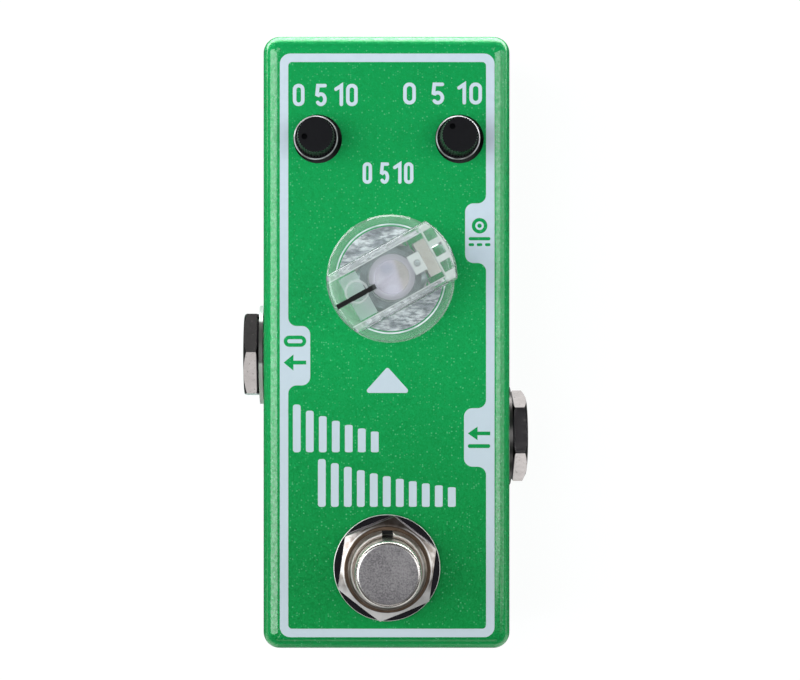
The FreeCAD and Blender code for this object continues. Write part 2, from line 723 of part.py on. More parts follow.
def audio_jack_body(label, sign, y):
    """The moulded body stands on the main board, with its solder pins beside it."""
    outer = "jack_inner - 1"
    near = outer if sign < 0 else "(%s) - jack_body_length" % outer
    low_x = "-(%s)" % near if sign < 0 else near
    case = block(label + "_case", (low_x, "(%s) - jack_body_width / 2" % y, "main_board_z"),
                 "jack_body_length", "jack_body_width", "jack_above_board + jack_body_width / 2")
    bore = bind(doc.addObject("Part::Cylinder", label + "_bore"), Radius="jack_bore",
                Height="jack_bore_depth + 1")
    bore.Placement = Placement(Vector(0, 0, 0), Rotation(Vector(0, 1, 0), -90 * sign))
    start = "(%s) + 1" % outer
    place(bore, start if sign > 0 else "-(%s)" % start, y, "jack_z")
    node(cut(label + "_moulding", case, bore), label + "_body")
    under = "main_board_z - board_thick - 1.2"
    pins = [block("%s_pin_%d" % (label, n), (
        "%d * (jack_inner - 5 - %d * 6) - 0.6" % (sign, n), "(%s) - 0.4" % y, under),
        "1.2", "0.8", "1.2") for n in range(3)]
    node(group(label + "_pin_set", pins), label + "_pins")


def power_inlet():
    """DC inlet standing on the main board, its round nose in the case's side wall."""
    outer = "jack_inner"
    half = "inlet_width / 2"
    low = ("(%s) - inlet_length" % outer, "inlet_y - (%s)" % half, "main_board_z")
    case = block("inlet_case", low, "inlet_length", "inlet_width", "inlet_height")
    nose = bind(doc.addObject("Part::Cylinder", "inlet_nose_rod"), Radius="inlet_nose",
                Height="wall_at_jack - jack_inner + 1 - inlet_nose_in")
    nose.Placement = Placement(Vector(0, 0, 0), Rotation(Vector(0, 1, 0), 90))
    place(nose, "(%s) - 1" % outer, "inlet_y", "jack_z")
    bore = bind(doc.addObject("Part::Cylinder", "inlet_bore_rod"), Radius="inlet_bore",
                Height="inlet_length + 2")
    bore.Placement = Placement(Vector(0, 0, 0), Rotation(Vector(0, 1, 0), 90))
    place(bore, "(%s) - inlet_length + 3" % outer, "inlet_y", "jack_z")
    node(cut("inlet_moulding", fuse("inlet_solid", [case, nose]), bore), "power_inlet_body")
    pin = turned("inlet_pin_turned", [
        ("0", "0"), ("inlet_pin", "0"), ("inlet_pin", "8.6"), ("inlet_pin - 0.3", "9"), ("0", "9")])
    pin.Placement = Placement(Vector(0, 0, 0), Rotation(Vector(0, 1, 0), 90))
    node(place(pin, "(%s) - inlet_length + 3" % outer, "inlet_y", "jack_z"), "power_inlet_pin")
    tabs = [block("inlet_tab_%d" % n, (
        "(%s) - 4 - %d * 6" % (outer, n), "inlet_y - 0.4", "main_board_z - board_thick - 1.2"),
        "1.5", "0.8", "1.2") for n in range(2)]
    node(group("inlet_tab_set", tabs), "power_inlet_tabs")


# ---- footswitch ----

def footswitch():
    half = "switch_width / 2"
    corner = ("-(%s)" % half, "switch_y - (%s)" % half, "housing_z")
    case = block("switch_case", corner, "switch_width", "switch_width", "switch_height")
    bottom = "face_z - button_foot - stem_length - button_travel - 0.4"
    well = rod("switch_well", "0", "switch_y", bottom, "stem_radius + running_gap", "switch_height")
    node(cut("switch_housing", case, well), "footswitch_housing")
    bushing = turned("switch_tube", [
        ("button_radius + running_gap", "0"), ("switch_bushing", "0"),
        ("switch_bushing", "face_z + switch_bushing_top - housing_top_z - 0.4"),
        ("switch_bushing - 0.4", "face_z + switch_bushing_top - housing_top_z"),
        ("button_radius + running_gap + 0.3", "face_z + switch_bushing_top - housing_top_z"),
        ("button_radius + running_gap", "face_z + switch_bushing_top - housing_top_z - 0.3")])
    slot = new_sketch(bushing, "key_slot", height="face_z + switch_bushing_top - housing_top_z - key_deep")
    draw_polygon(slot, span("-key_width / 2", "key_width / 2", "button_radius - 0.5", "switch_bushing + 1"))
    pocket(bushing, slot)
    node(place(bushing, "0", "switch_y", "housing_top_z"), "footswitch_bushing")
    stack_under_and_over()
    lugs = [block("switch_lug_%d%d" % (a, b), (
        "-5.7 + %d * 4.7" % a, "switch_y - 4.4 + %d * 8" % b, "main_board_z"),
        "2", "0.8", "housing_z - main_board_z") for a in range(3) for b in range(2)]
    node(group("switch_lug_set", lugs), "footswitch_terminals")


def stack_under_and_over():
    """The nut and washers that clamp the footswitch's bushing to the face."""
    bore = "switch_bushing + press_gap"
    inner = hex_nut("switch_inner_nut", "switch_nut_across", "inner_nut_thick", bore, "switch_nut_crown")
    node(place(inner, "0", "switch_y", "housing_top_z"), "footswitch_inner_nut")
    lock = turned("switch_lock_washer", ring(bore, "lock_washer_radius", "0", "lock_washer_thick"))
    node(place(lock, "0", "switch_y", "ceiling_z - lock_washer_thick"), "footswitch_lock_washer")
    dress = turned("switch_dress_washer", [
        (bore, "0"), ("switch_washer_radius", "0"), ("switch_washer_radius", "switch_washer_thick - 0.25"),
        ("switch_washer_radius - 0.25", "switch_washer_thick"), (bore, "switch_washer_thick")])
    node(place(dress, "0", "switch_y", "face_z"), "footswitch_washer")
    nut = hex_nut("switch_outer_nut", "switch_nut_across", "switch_nut_thick", bore, "switch_nut_crown",
                  turn="switch_nut_turn")
    node(place(nut, "0", "switch_y", "face_z + switch_washer_thick"), "footswitch_nut")


def footswitch_button():
    """The button slides in the bushing, its stem in the housing."""
    top = "button_top + button_foot"
    button = turned("button_turned", [
        ("0", "-stem_length"), ("stem_radius", "-stem_length"), ("stem_radius", "0"),
        ("button_radius", "0"), ("button_radius", top), ("0", top)])
    round_edges(button, "button_edge", lambda edge: edge.BoundBox.ZMin > size(top) - 1e-6)
    node(place(button, "0", "switch_y", "face_z - button_foot"), "footswitch_button")


def return_spring():
    """Coil of tilted half rings, each ending level with the next, between the housing and the button."""
    room = "(face_z - button_foot - housing_top_z - 2 * spring_wire - 0.1)"
    rise = "%s / spring_turns / 4" % room
    tilt = math.degrees(math.atan2(size(rise), size("spring_radius")))
    section = doc.addObject("Part::RegularPolygon", "spring_section")
    section.Polygon = 8
    bind(section, Circumradius="spring_wire")
    section.Placement = Placement(Vector(0, 0, 0), Rotation(Vector(1, 0, 0), 90))
    place(section, "sqrt((spring_radius)^2 + (%s)^2)" % rise)
    halves = []
    for half in range(2 * round(size("spring_turns"))):
        arc = doc.addObject("Part::Revolution", "spring_half_%d" % half)
        arc.Source = section
        arc.Axis = Vector(0, 0, 1)
        arc.Angle = 180
        arc.Solid = True
        side = half % 2
        arc.Placement.Rotation = Rotation(Vector(0, 1, 0), tilt - 2 * tilt * side) * Rotation(
            Vector(0, 0, 1), 180 * side)
        place(arc, "0", "switch_y", "housing_top_z + spring_wire + 0.05 + (%d) * %s" % (2 * half + 1, rise))
        halves.append(arc)
    node(fuse("spring_coil", halves), "footswitch_spring")


# ---- knobs ----

def draw_bar(sketch, half_width, radius):
    """A bar across a circle: two straight sides, its ends on the circle."""
    reach = (size(radius) ** 2 - size(half_width) ** 2) ** 0.5
    half = size(half_width)
    middle = Vector(0, 0, 0)
    normal = Vector(0, 0, 1)
    sketch.addGeometry(Part.LineSegment(Vector(-reach, -half, 0), Vector(reach, -half, 0)))
    circle = Part.Circle(middle, normal, size(radius))
    right = circle.parameter(Vector(reach, half, 0))
    sketch.addGeometry(Part.ArcOfCircle(circle, -right, right))
    sketch.addGeometry(Part.LineSegment(Vector(reach, half, 0), Vector(-reach, half, 0)))
    left = circle.parameter(Vector(-reach, half, 0))
    sketch.addGeometry(Part.ArcOfCircle(circle, left, circle.parameter(Vector(-reach, -half, 0))))
    for first, second in ((0, 1), (1, 2), (2, 3), (3, 0)):
        sketch.addConstraint(Sketcher.Constraint("Coincident", first, 2, second, 1))
    for arc in (1, 3):
        sketch.addConstraint(Sketcher.Constraint("Coincident", arc, 3, -1, 1))
        index = sketch.addConstraint(Sketcher.Constraint("Radius", arc, size(radius)))
        sketch.renameConstraint(index, "radius%d" % arc)
        sketch.setExpression("Constraints.radius%d" % arc, formula(radius))
    for line, sign in ((0, -1), (2, 1)):
        sketch.addConstraint(Sketcher.Constraint("Horizontal", line))
        index = sketch.addConstraint(Sketcher.Constraint("DistanceY", line, 1, sign * half))
        sketch.renameConstraint(index, "side%d" % line)
        sketch.setExpression("Constraints.side%d" % line, formula("%d * (%s)" % (sign, half_width)))


def time_knob():
    """Clear moulding: a cupped skirt with a hollow grip bar across it, and a hub for the shaft inside."""
    body = turned("time_moulding", [
        ("0", "skirt_ceiling"), ("skirt_radius - skirt_lip", "skirt_ceiling"),
        ("skirt_radius - skirt_lip", "knob_gap"), ("skirt_radius", "knob_gap"),
        ("skirt_radius", "skirt_top - skirt_edge"), ("skirt_radius - skirt_edge", "skirt_top"),
        ("0", "skirt_top")])
    grip = new_sketch(body, "grip_outline", height="skirt_ceiling")
    draw_bar(grip, "grip_width / 2", "skirt_radius")
    pad(body, grip, "grip_top - skirt_ceiling")
    round_edges(body, "grip_edge", lambda edge: edge.BoundBox.ZMin > size("grip_top") - 1e-6)
    hollow = new_sketch(body, "grip_hollow", height="skirt_ceiling - 0.2")
    draw_bar(hollow, "grip_width / 2 - grip_wall", "skirt_radius - skirt_lip")
    pocket(body, hollow, "grip_top - grip_roof - skirt_ceiling + 0.2")
    hub_and_ribs(body)
    groove = new_sketch(body, "pointer_groove", height="grip_top - pointer_deep")
    draw_polygon(groove, span("-pointer_end", "-pointer_start", "-pointer_width / 2", "pointer_width / 2"))
    pocket(body, groove)
    on_time_axis(body, "time_knob")


def hub_and_ribs(body):
    """Hub round the shaft, a wall behind the left pocket, and the insert's cage with three windows."""
    rise = "grip_top - grip_roof - hub_bottom + 0.2"
    half_inside = "grip_width / 2 - grip_wall"
    inside_end = "skirt_radius - skirt_lip + 0.2"
    hub = new_sketch(body, "hub_outline", height="hub_bottom")
    draw_circles(hub, [("0", "0", "hub_radius")])
    pad(body, hub, rise)
    ribs = new_sketch(body, "rib_outline", height="hub_bottom")
    far = "insert_near + insert_thick + 0.1"
    side = "insert_width / 2 + 0.1"
    for low, high in (("-(%s)" % half_inside, "-(%s)" % side), (side, half_inside)):
        draw_polygon(ribs, span("insert_near - 0.6", "(%s) + cage_wall" % far, "%s" % low, "%s" % high))
    left_rib = "(hub_radius + rib_away)"
    draw_polygon(ribs, span("-%s - rib" % left_rib, "-" + left_rib, "-(%s)" % half_inside, half_inside))
    pad(body, ribs, rise)
    outer = new_sketch(body, "window_ribs", height="hub_bottom + 1")
    wall_end = "(%s) + cage_wall" % far
    upper = [(wall_end, "window_width / 2"), (inside_end, "window_width / 2"),
             (inside_end, "window_width / 2 + rib"), (wall_end, "window_width / 2 + rib"),
             (wall_end, side), (far, side)]
    lower = [(across, "-(%s)" % up) for across, up in reversed(upper)]
    draw_polygon(outer, lower + upper)
    pad(body, outer, "(%s) - 1" % rise)
    panel = new_sketch(body, "frosted_panel", height="grip_top - grip_roof - panel_deep")
    half_panel = "(%s - panel_edge)" % half_inside
    draw_polygon(panel, span("-panel_end", "-%s - rib" % left_rib, "-" + half_panel, half_panel))
    pad(body, panel, "panel_deep + 0.1")
    ejector = new_sketch(body, "ejector_mark", height="grip_top - grip_roof - panel_deep - ejector_deep")
    draw_circles(ejector, [("-ejector_at", "0", "ejector_radius")])
    pad(body, ejector, "ejector_deep + 0.1")
    bore = new_sketch(body, "hub_bore", height="hub_bottom - 0.2")
    draw_circles(bore, [("0", "0", "time_shaft + press_gap")])
    pocket(body, bore, "time_shaft_top + press_gap - hub_bottom + 0.2")
    screw_way = new_sketch(body, "screw_way", "YZ_Plane", height="time_shaft - 0.5")
    draw_circles(screw_way, [("0", "set_screw_height", "set_screw_radius + hole_gap")])
    pocket(body, screw_way, "skirt_radius")


def on_time_axis(thing, label):
    node(place(thing, "time_x", "time_y", "face_z", turn="time_turn"), label)


def time_knob_fittings():
    """Black pointer inlay, square nut and set screw."""
    outline = span("-pointer_end", "-pointer_start", "-pointer_width / 2", "pointer_width / 2")
    inlay = plate("pointer_bar", outline, "pointer_deep")
    node(place(inlay, "time_x", "time_y", "face_z + grip_top - pointer_deep", turn="time_turn"),
         "time_knob_pointer")
    tall = "insert_width"
    insert = new_body("insert_nut")
    square = new_sketch(insert, "insert_square", "YZ_Plane", height="insert_near")
    draw_polygon(square, rectangle("insert_width / 2", "(%s) / 2" % tall, "0", "set_screw_height"))
    pad(insert, square, "insert_thick")
    hole = new_sketch(insert, "insert_hole", "YZ_Plane", height="insert_near - 0.5")
    draw_circles(hole, [("0", "set_screw_height", "set_screw_radius + press_gap")])
    pocket(insert, hole)
    on_time_axis(insert, "time_knob_insert")
    screw = new_body("set_screw")
    shank = new_sketch(screw, "set_screw_shank", "YZ_Plane", height="time_shaft + press_gap")
    draw_circles(shank, [("0", "set_screw_height", "set_screw_radius")])
    pad(screw, shank, "set_screw_end - time_shaft - press_gap")
    key = new_sketch(screw, "set_screw_key", "YZ_Plane", height="set_screw_end - set_screw_key")
    reach = "set_screw_key / 2 / cos(30 deg)"
    draw_polygon(key, [("(%s) * cos(%d deg)" % (reach, angle), "set_screw_height + (%s) * sin(%d deg)"
                        % (reach, angle)) for angle in range(0, 360, 60)])
    pocket(screw, key)
    on_time_axis(screw, "time_knob_screw")


def toothed_ring(outer, inner, teeth):
    """Corners of a ring of pointed teeth, going round from tip to root."""
    corners = []
    for step in range(2 * teeth):
        radius = "(%s)" % (inner if step % 2 else outer)
        angle = "%s deg" % (180 * step / teeth)
        corners.append(("%s * cos(%s)" % (radius, angle), "%s * sin(%s)" % (radius, angle)))
    return corners


def small_knob(label, x, turn):
    """Black knob: flange with a bevelled edge, a toothed grip leaning in from it and a dimple for a mark."""
    socket = "small_shaft + press_gap"
    body = turned(label + "_moulding", [
        (socket, "knob_gap"), ("small_rim", "knob_gap"), ("small_rim", "small_rim_top - small_bevel"),
        ("small_rim - small_bevel", "small_rim_top"), ("small_grip_end - small_core", "small_rim_top"),
        ("small_grip_end - small_core", "small_top - small_core"), ("0", "small_top - small_core"),
        ("0", "small_top - small_cap"), (socket, "small_top - small_cap")])
    ends = []
    lean = "(1 - small_grip_lean)"
    for end, height, share in (("foot", "small_rim_top - small_core", "1"), ("top", "small_top", lean)):
        outline = new_sketch(body, label + "_grip_" + end, height=height)
        outer = "small_grip * " + share
        inner = "(small_grip - tooth_deep) * " + share
        draw_polygon(outline, toothed_ring(outer, inner, round(size("teeth"))))
        ends.append(outline)
    grip = body.newObject("PartDesign::AdditiveLoft", label + "_grip")
    grip.Profile = ends[0]
    grip.Sections = [ends[1]]
    grip.Ruled = True
    doc.recompute()
    bore = new_sketch(body, label + "_socket", height="knob_gap - 0.1")
    draw_circles(bore, [("0", "0", socket)])
    pocket(body, bore, "small_top - small_cap - knob_gap + 0.1")
    mark = new_sketch(body, label + "_mark", height="small_top - dimple_deep")
    draw_circles(mark, [("dimple_at", "0", "dimple_radius")])
    pocket(body, mark)
    node(place(body, x, "small_y", "face_z", turn=turn), label)


def check_and_write():
    """Stops at any failed object or bad shape, then writes each sub-part."""
    doc.recompute()
    for item in doc.Objects:
        if "Invalid" in item.State or "Error" in item.State:
            raise ValueError("%s failed: %s" % (item.Name, item.State))
    for label, item in nodes.items():
        if item.Shape.isNull() or not item.Shape.isValid() or not item.Shape.Solids:
            raise ValueError(label + " has no valid solid")
    os.makedirs("parts", exist_ok=True)
    for label, item in nodes.items():
        item.Shape.exportStep("parts/%s.step" % label)
    print(len(nodes), "sub-parts,", sum(len(item.Shape.Solids) for item in nodes.values()), "solids")


case_shell()
base_plate()
base_screws()
rubber_feet()
circuit_boards()
board_parts()
time_pot()
small_pots()
status_light()
audio_jack("output_jack", -1, "output_y", "output_nut_turn")
audio_jack("input_jack", 1, "input_y", "input_nut_turn")
power_inlet()
footswitch()
footswitch_button()
return_spring()
time_knob()
time_knob_fittings()
small_knob("level_knob", "-small_x", "level_turn")
small_knob("repeat_knob", "small_x", "repeat_turn")
check_and_write()
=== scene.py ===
import json
import math

import bmesh
import bpy
from mathutils import Matrix, Vector


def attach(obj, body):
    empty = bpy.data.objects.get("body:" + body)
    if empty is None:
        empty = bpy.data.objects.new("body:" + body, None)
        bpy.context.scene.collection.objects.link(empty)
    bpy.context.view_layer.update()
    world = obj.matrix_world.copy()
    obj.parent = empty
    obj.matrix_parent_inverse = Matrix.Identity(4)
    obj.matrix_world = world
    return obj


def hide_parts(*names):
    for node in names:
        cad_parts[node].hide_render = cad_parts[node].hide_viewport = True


# Looks for the mini delay pedal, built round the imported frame. Sizes are in mm and become metres in each mesh.
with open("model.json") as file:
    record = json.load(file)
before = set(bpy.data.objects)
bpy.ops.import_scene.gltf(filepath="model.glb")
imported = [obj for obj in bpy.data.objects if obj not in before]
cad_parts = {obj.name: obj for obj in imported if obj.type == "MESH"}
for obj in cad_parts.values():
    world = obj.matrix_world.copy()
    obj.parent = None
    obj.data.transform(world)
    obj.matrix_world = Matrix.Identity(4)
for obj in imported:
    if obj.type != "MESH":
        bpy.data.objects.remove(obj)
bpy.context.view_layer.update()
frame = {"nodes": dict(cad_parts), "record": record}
nodes = frame["nodes"]
MM = 0.001
FACE_Z = 32.6
TIME_AXIS = (0.5, 9.7)
TIME_TURN = 29.0
LEVEL_AXIS = (-10.91, 31.4)
REPEAT_AXIS = (10.91, 31.4)
SWITCH_AXIS = (0.0, -34.6)


# ---- shader wiring ----

class Wire:
    """A shader socket that Python's operators turn into Math nodes."""

    def __init__(self, finish, socket):
        self.finish = finish
        self.socket = socket

    def math(self, operation, *others):
        return self.finish.add("ShaderNodeMath", {"operation": operation}, self, *others)

    def __add__(self, other):
        return self.math("ADD", other)

    def __sub__(self, other):
        return self.math("SUBTRACT", other)

    def __rsub__(self, other):
        return self.finish.add("ShaderNodeMath", {"operation": "SUBTRACT"}, other, self)

    def __mul__(self, other):
        return self.math("MULTIPLY", other)

    __radd__ = __add__
    __rmul__ = __mul__

    def step(self, start, end):
        """0 below start, 1 above end and smooth between them; start may be the larger."""
        settings = {"interpolation_type": "SMOOTHSTEP"}
        return self.finish.add("ShaderNodeMapRange", settings, self, start, end, 0.0, 1.0)

    def within(self, low, high, soft):
        """1 between low and high, fading over soft outside them."""
        return self.step(low - soft, low) * self.step(high + soft, high)


class Finish:
    """One material while it is being made: its tree, its shader and its places."""

    def __init__(self, name, **constants):
        self.material = bpy.data.materials.new(name)
        self.material.use_nodes = True
        self.tree = self.material.node_tree
        self.shader = self.tree.nodes["Principled BSDF"]
        self.surface = self.tree.nodes["Material Output"].inputs["Surface"]
        self.look = Wire(self, self.shader.outputs[0])
        self.where = self.add("ShaderNodeTexCoord", {}, output="Object")
        self.set(**constants)

    def add(self, kind, settings, *values, output=0, **named):
        """Adds a node: settings go on the node first, then values or links on its sockets."""
        node = self.tree.nodes.new(kind)
        for key, value in settings.items():
            if key == "stops":
                set_stops(node.color_ramp, value)
            else:
                setattr(node, key, value)
        sockets = [socket for socket in node.inputs if socket.enabled]
        for socket, value in zip(sockets, values):
            self.plug(socket, value)
        for key, value in named.items():
            self.plug(node.inputs[key.replace("_", " ")], value)
        outputs = [socket for socket in node.outputs if socket.enabled]
        return Wire(self, outputs[0] if output == 0 else node.outputs[output])

    def plug(self, socket, value):
        if isinstance(value, Wire):
            self.tree.links.new(value.socket, socket)
        elif value is not None:
            socket.default_value = value

    def set(self, **sockets):
        """Puts numbers, colours or wires on the shader's own sockets."""
        for key, value in sockets.items():
            self.plug(self.shader.inputs[key.replace("_", " ")], value)
        return self

    def vector(self, operation, *values, output=0, **named):
        return self.add("ShaderNodeVectorMath", {"operation": operation}, *values, output=output, **named)

    def noise(self, scale, detail=2.0, rough=0.5, stretch=None):
        place = self.vector("MULTIPLY", self.where, stretch) if stretch else self.where
        return self.add("ShaderNodeTexNoise", {}, Vector=place, Scale=scale, Detail=detail, Roughness=rough)

    def cells(self, scale, output):
        return self.add("ShaderNodeTexVoronoi", {}, Vector=self.where, Scale=scale, output=output)

    def channel(self, colour, letter):
        return self.add("ShaderNodeSeparateColor", {}, colour, output=letter)

    def axis(self, letter):
        return self.add("ShaderNodeSeparateXYZ", {}, self.where, output=letter)

    def facing(self, letter, kind="Normal"):
        """One part of the direction that the surface faces."""
        direction = self.add("ShaderNodeNewGeometry", {}, output=kind)
        return self.add("ShaderNodeSeparateXYZ", {}, direction, output=letter)

    def blend(self, factor, low, high):
        """Colours low and high mixed by factor."""
        return self.add("ShaderNodeMix", {"data_type": "RGBA"}, factor, low, high)

    def bump(self, height, distance, strength=1.0, normal=None):
        return self.add("ShaderNodeBump", {}, Strength=strength, Distance=distance, Height=height, Normal=normal)

    def radius_from(self, x, y):
        """Distance from an upright axis, in metres."""
        offset = self.vector("SUBTRACT", self.where, (x * MM, y * MM, 0))
        return self.vector("LENGTH", self.vector("MULTIPLY", offset, (1, 1, 0)), output="Value")

    def mixed(self, share, first, second):
        """Two shaders mixed by a share of the second."""
        return self.add("ShaderNodeMixShader", {}, share, first, second)

    def end_with(self, look):
        self.tree.links.new(look.socket, self.surface)
        return self.material


def set_stops(ramp, stops):
    while len(ramp.elements) < len(stops):
        ramp.elements.new(0.5)
    for element, (position, colour) in zip(ramp.elements, stops):
        element.position = position
        element.color = colour


def shade(red, green, blue, alpha=1.0):
    """A colour given as it looks on screen, 0 to 255, for a shader socket."""
    def linear(value):
        value /= 255.0
        return value / 12.92 if value <= 0.04045 else ((value + 0.055) / 1.055) ** 2.4
    return (linear(red), linear(green), linear(blue), alpha)


# ---- finishes ----

def flake_paint():
    """Green lacquer: faint and bright metal flecks and a fine sparkle under a clear coat, with painted light at the
    far end and on the edges below the face, and painted shade towards the footswitch's end.
    """
    flake_scale, sparkle_scale = 2900.0, 5200.0
    paint = Finish("flake_paint", Metallic=0.3, Coat_Roughness=0.08, Coat_IOR=1.72, Specular_IOR_Level=0.1)
    fine = paint.cells(sparkle_scale, "Color")
    large = paint.cells(flake_scale, "Color")
    core = paint.cells(flake_scale, "Distance")
    sparkle = paint.channel(fine, "Green")
    fleck = paint.channel(large, "Red").step(0.72, 1.0) * core.step(0.5, 0.15)
    # Painted light and shade: the strip at the far end and the edges below the face are lightened, and the
    # footswitch's end is darkened.
    far_end_painted_light = paint.axis("Y").step(43.5 * MM, 45.5 * MM)
    near_end_painted_shade = paint.axis("Y").step(5.0 * MM, -35.0 * MM)
    below_face_painted_light = paint.axis("Z").step(32.5 * MM, 32.2 * MM)
    tone = paint.blend(paint.noise(70.0, 3.0), shade(0, 146, 67), shade(0, 154, 75))
    for share, colour in ((far_end_painted_light * 0.35, shade(10, 184, 100)), (sparkle * 0.8, shade(12, 166, 88)),
                          (near_end_painted_shade * 0.65, shade(3, 129, 56)), (below_face_painted_light * 0.27, shade(10, 182, 98)),
                          (fleck * 0.25, shade(150, 235, 190))):
        tone = paint.blend(share, tone, colour)
    tilt = paint.vector("SCALE", paint.vector("SUBTRACT", fine, (0.5, 0.5, 0.5)), Scale=0.25)
    upright = paint.add("ShaderNodeNewGeometry", {}, output="Normal")
    normal = paint.vector("NORMALIZE", paint.vector("ADD", upright, tilt))
    paint.set(Base_Color=tone, Roughness=0.5 - fleck * 0.1, Normal=normal)
    paint.set(Coat_Weight=0.45 + paint.channel(large, "Blue") * 0.55)
    return paint.material


def print_ink():
    """Pale screen-printed ink, with painted shade darkening it a little towards the footswitch's end."""
    ink = Finish("print_ink", Roughness=0.42)
    mottle = ink.noise(900.0, 2.0)
    tone = ink.blend(mottle, shade(200, 215, 226), shade(212, 226, 236))
    # Painted shade: the ink darkens towards the footswitch's end.
    near_end_painted_shade = ink.axis("Y").step(45.0 * MM, -45.0 * MM)
    ink.set(Base_Color=ink.blend(near_end_painted_shade, tone, shade(193, 207, 213)), Normal=ink.bump(mottle, 0.00001, 0.3))
    return ink.material


def plated(name, low, high, roughness, grain=900.0, unevenness=0.06, bump=0.4):
    """Plated metal with fine mottling and a faint polish grain."""
    metal = Finish(name, Metallic=1.0)
    cloud = metal.noise(grain, 3.0)
    metal.set(Base_Color=metal.blend(cloud, low, high), Roughness=roughness + (cloud - 0.5) * unevenness)
    metal.set(Normal=metal.bump(metal.noise(grain * 2.5, 2.0), 0.00001, bump))
    return metal.material


def jack_plate():
    """The jack nuts' plating, spotted, with painted shade, dark, where the inner edge turns under beside the washer.
    """
    metal = Finish("jack_nickel", Metallic=1.0)
    cloud = metal.noise(900.0, 3.0)
    # Painted shade: the inner edge beside the washer is darkened.
    inner = metal.axis("X").math("ABSOLUTE").step(20.5 * MM, 20.35 * MM)
    spots = metal.noise(1900.0, 2.0).step(0.6, 0.75) * 0.35
    plain = metal.blend(cloud, shade(186, 180, 178), shade(218, 212, 210))
    tone = metal.blend(inner, metal.blend(spots, plain, shade(120, 114, 110)), shade(34, 32, 36))
    metal.set(Base_Color=tone, Roughness=0.1 + spots * 0.3 + inner * 0.2)
    metal.set(Normal=metal.bump(metal.noise(2250.0, 2.0), 0.00001, 0.25))
    return metal.material


def washer_plate():
    """The output jack's washer: dull nickel, its rim with painted shade under the nut and pale at both ends, the
    upper end lightened further by a painted highlight.
    """
    metal = Finish("washer_nickel", Roughness=0.42)
    cloud = metal.noise(900.0, 3.0)
    rim = metal.facing("X").math("ABSOLUTE").step(0.6, 0.4)
    # Painted shade on the rim under the nut, and a painted highlight on the rim past its upper end.
    painted_shade_under_nut = metal.axis("Y").within(-3.1 * MM, 3.1 * MM, 0.4 * MM) * rim
    pale = metal.axis("Y").step(3.1 * MM, 3.6 * MM) * rim
    tone = metal.blend(cloud, shade(190, 182, 180), shade(214, 207, 205))
    tone = metal.blend(painted_shade_under_nut * 0.85, tone, shade(52, 44, 44))
    metal.set(Base_Color=metal.blend(pale, tone, shade(246, 244, 246)), Metallic=1.0 - rim * 0.6)
    return metal.material


def brushed_button():
    """Satin steel: a fine blasted grain on the flat, polished where the edge rolls over."""
    steel = Finish("satin_steel", Metallic=1.0)
    flat = steel.radius_from(*SWITCH_AXIS).step(4.54 * MM, 4.4 * MM) * steel.axis("Z").step(43.1 * MM, 43.2 * MM)
    grain = steel.noise(2600.0, 2.0)
    cloud = steel.noise(4200.0, 1.0) * 0.65 + steel.noise(240.0, 2.0) * 0.35
    blasted = steel.blend(cloud.step(0.3, 0.7), shade(100, 96, 98), shade(140, 136, 136))
    steel.set(Base_Color=steel.blend(flat, shade(226, 220, 214), blasted))
    steel.set(Roughness=0.26 + flat * (0.12 + grain * 0.2), Normal=steel.bump(grain * flat, 0.00003, 0.6))
    return steel.material


def switch_plate():
    """The footswitch nut's plating: a brown ring, a painted highlight ring on the chamfer, painted highlights on the
    near corners and painted shade, brownish, on the far one.
    """
    metal = Finish("switch_plate", Metallic=1.0)
    cloud = metal.noise(900.0, 3.0)
    away, along = metal.radius_from(*SWITCH_AXIS), metal.axis("Y")
    top = metal.axis("Z").step(35.9 * MM, 36.0 * MM)
    brown_ring = away.step(6.62 * MM, 6.54 * MM) * top
    # Painted highlights on the chamfer's ring and the near corners, painted shade on the far corner.
    highlight_ring_painted = away.within(6.7 * MM, 7.05 * MM, 0.06 * MM) * top * 0.85
    near_corners_painted_highlight = along.step(-36.0 * MM, -38.5 * MM) * away.step(6.55 * MM, 6.65 * MM) * 0.8
    far_corner_painted_shade = along.step(-29.3 * MM, -28.0 * MM)
    pale_metal = highlight_ring_painted.math("MAXIMUM", near_corners_painted_highlight)
    brown = metal.blend(cloud, shade(82, 66, 54), shade(112, 94, 80))
    plain = metal.blend(cloud.step(0.35, 0.65), shade(150, 138, 130), shade(206, 198, 192))
    plain = metal.blend(far_corner_painted_shade * 0.75, plain, shade(96, 82, 72))
    tone = metal.blend(pale_metal * (1.0 - far_corner_painted_shade), metal.blend(brown_ring, plain, brown), shade(244, 241, 238))
    metal.set(Base_Color=tone, Metallic=1.0 - pale_metal * 0.45, Roughness=0.3 + (cloud - 0.5) * 0.1 + pale_metal * 0.15)
    metal.set(Normal=metal.bump(metal.noise(2250.0, 2.0), 0.00001, 0.9))
    return metal.material


def slot_shade():
    """The key slot in the bushing: painted shade, black, where it is deep, worn metal at its inner end."""
    metal = Finish("slot_shade", Roughness=0.4)
    inner = metal.radius_from(*SWITCH_AXIS).step(5.2 * MM, 5.05 * MM)
    pale_metal = metal.blend(metal.noise(2600.0, 2.0), shade(132, 128, 118), shade(206, 202, 190))
    # Painted shade: the deep part of the slot is black.
    metal.set(Base_Color=metal.blend(inner, shade(12, 11, 12), pale_metal), Metallic=inner * 0.25)
    return metal.material


def moulded(name, low, high, roughness, grain=1400.0, bump=0.4, **more):
    """Moulded plastic, rubber or powder coat with a fine surface grain."""
    plastic = Finish(name, **more)
    cloud = plastic.noise(grain, 3.0)
    plastic.set(Base_Color=plastic.blend(cloud, low, high), Roughness=roughness + (cloud - 0.5) * 0.1)
    plastic.set(Normal=plastic.bump(cloud, 0.00002, bump))
    return plastic.material


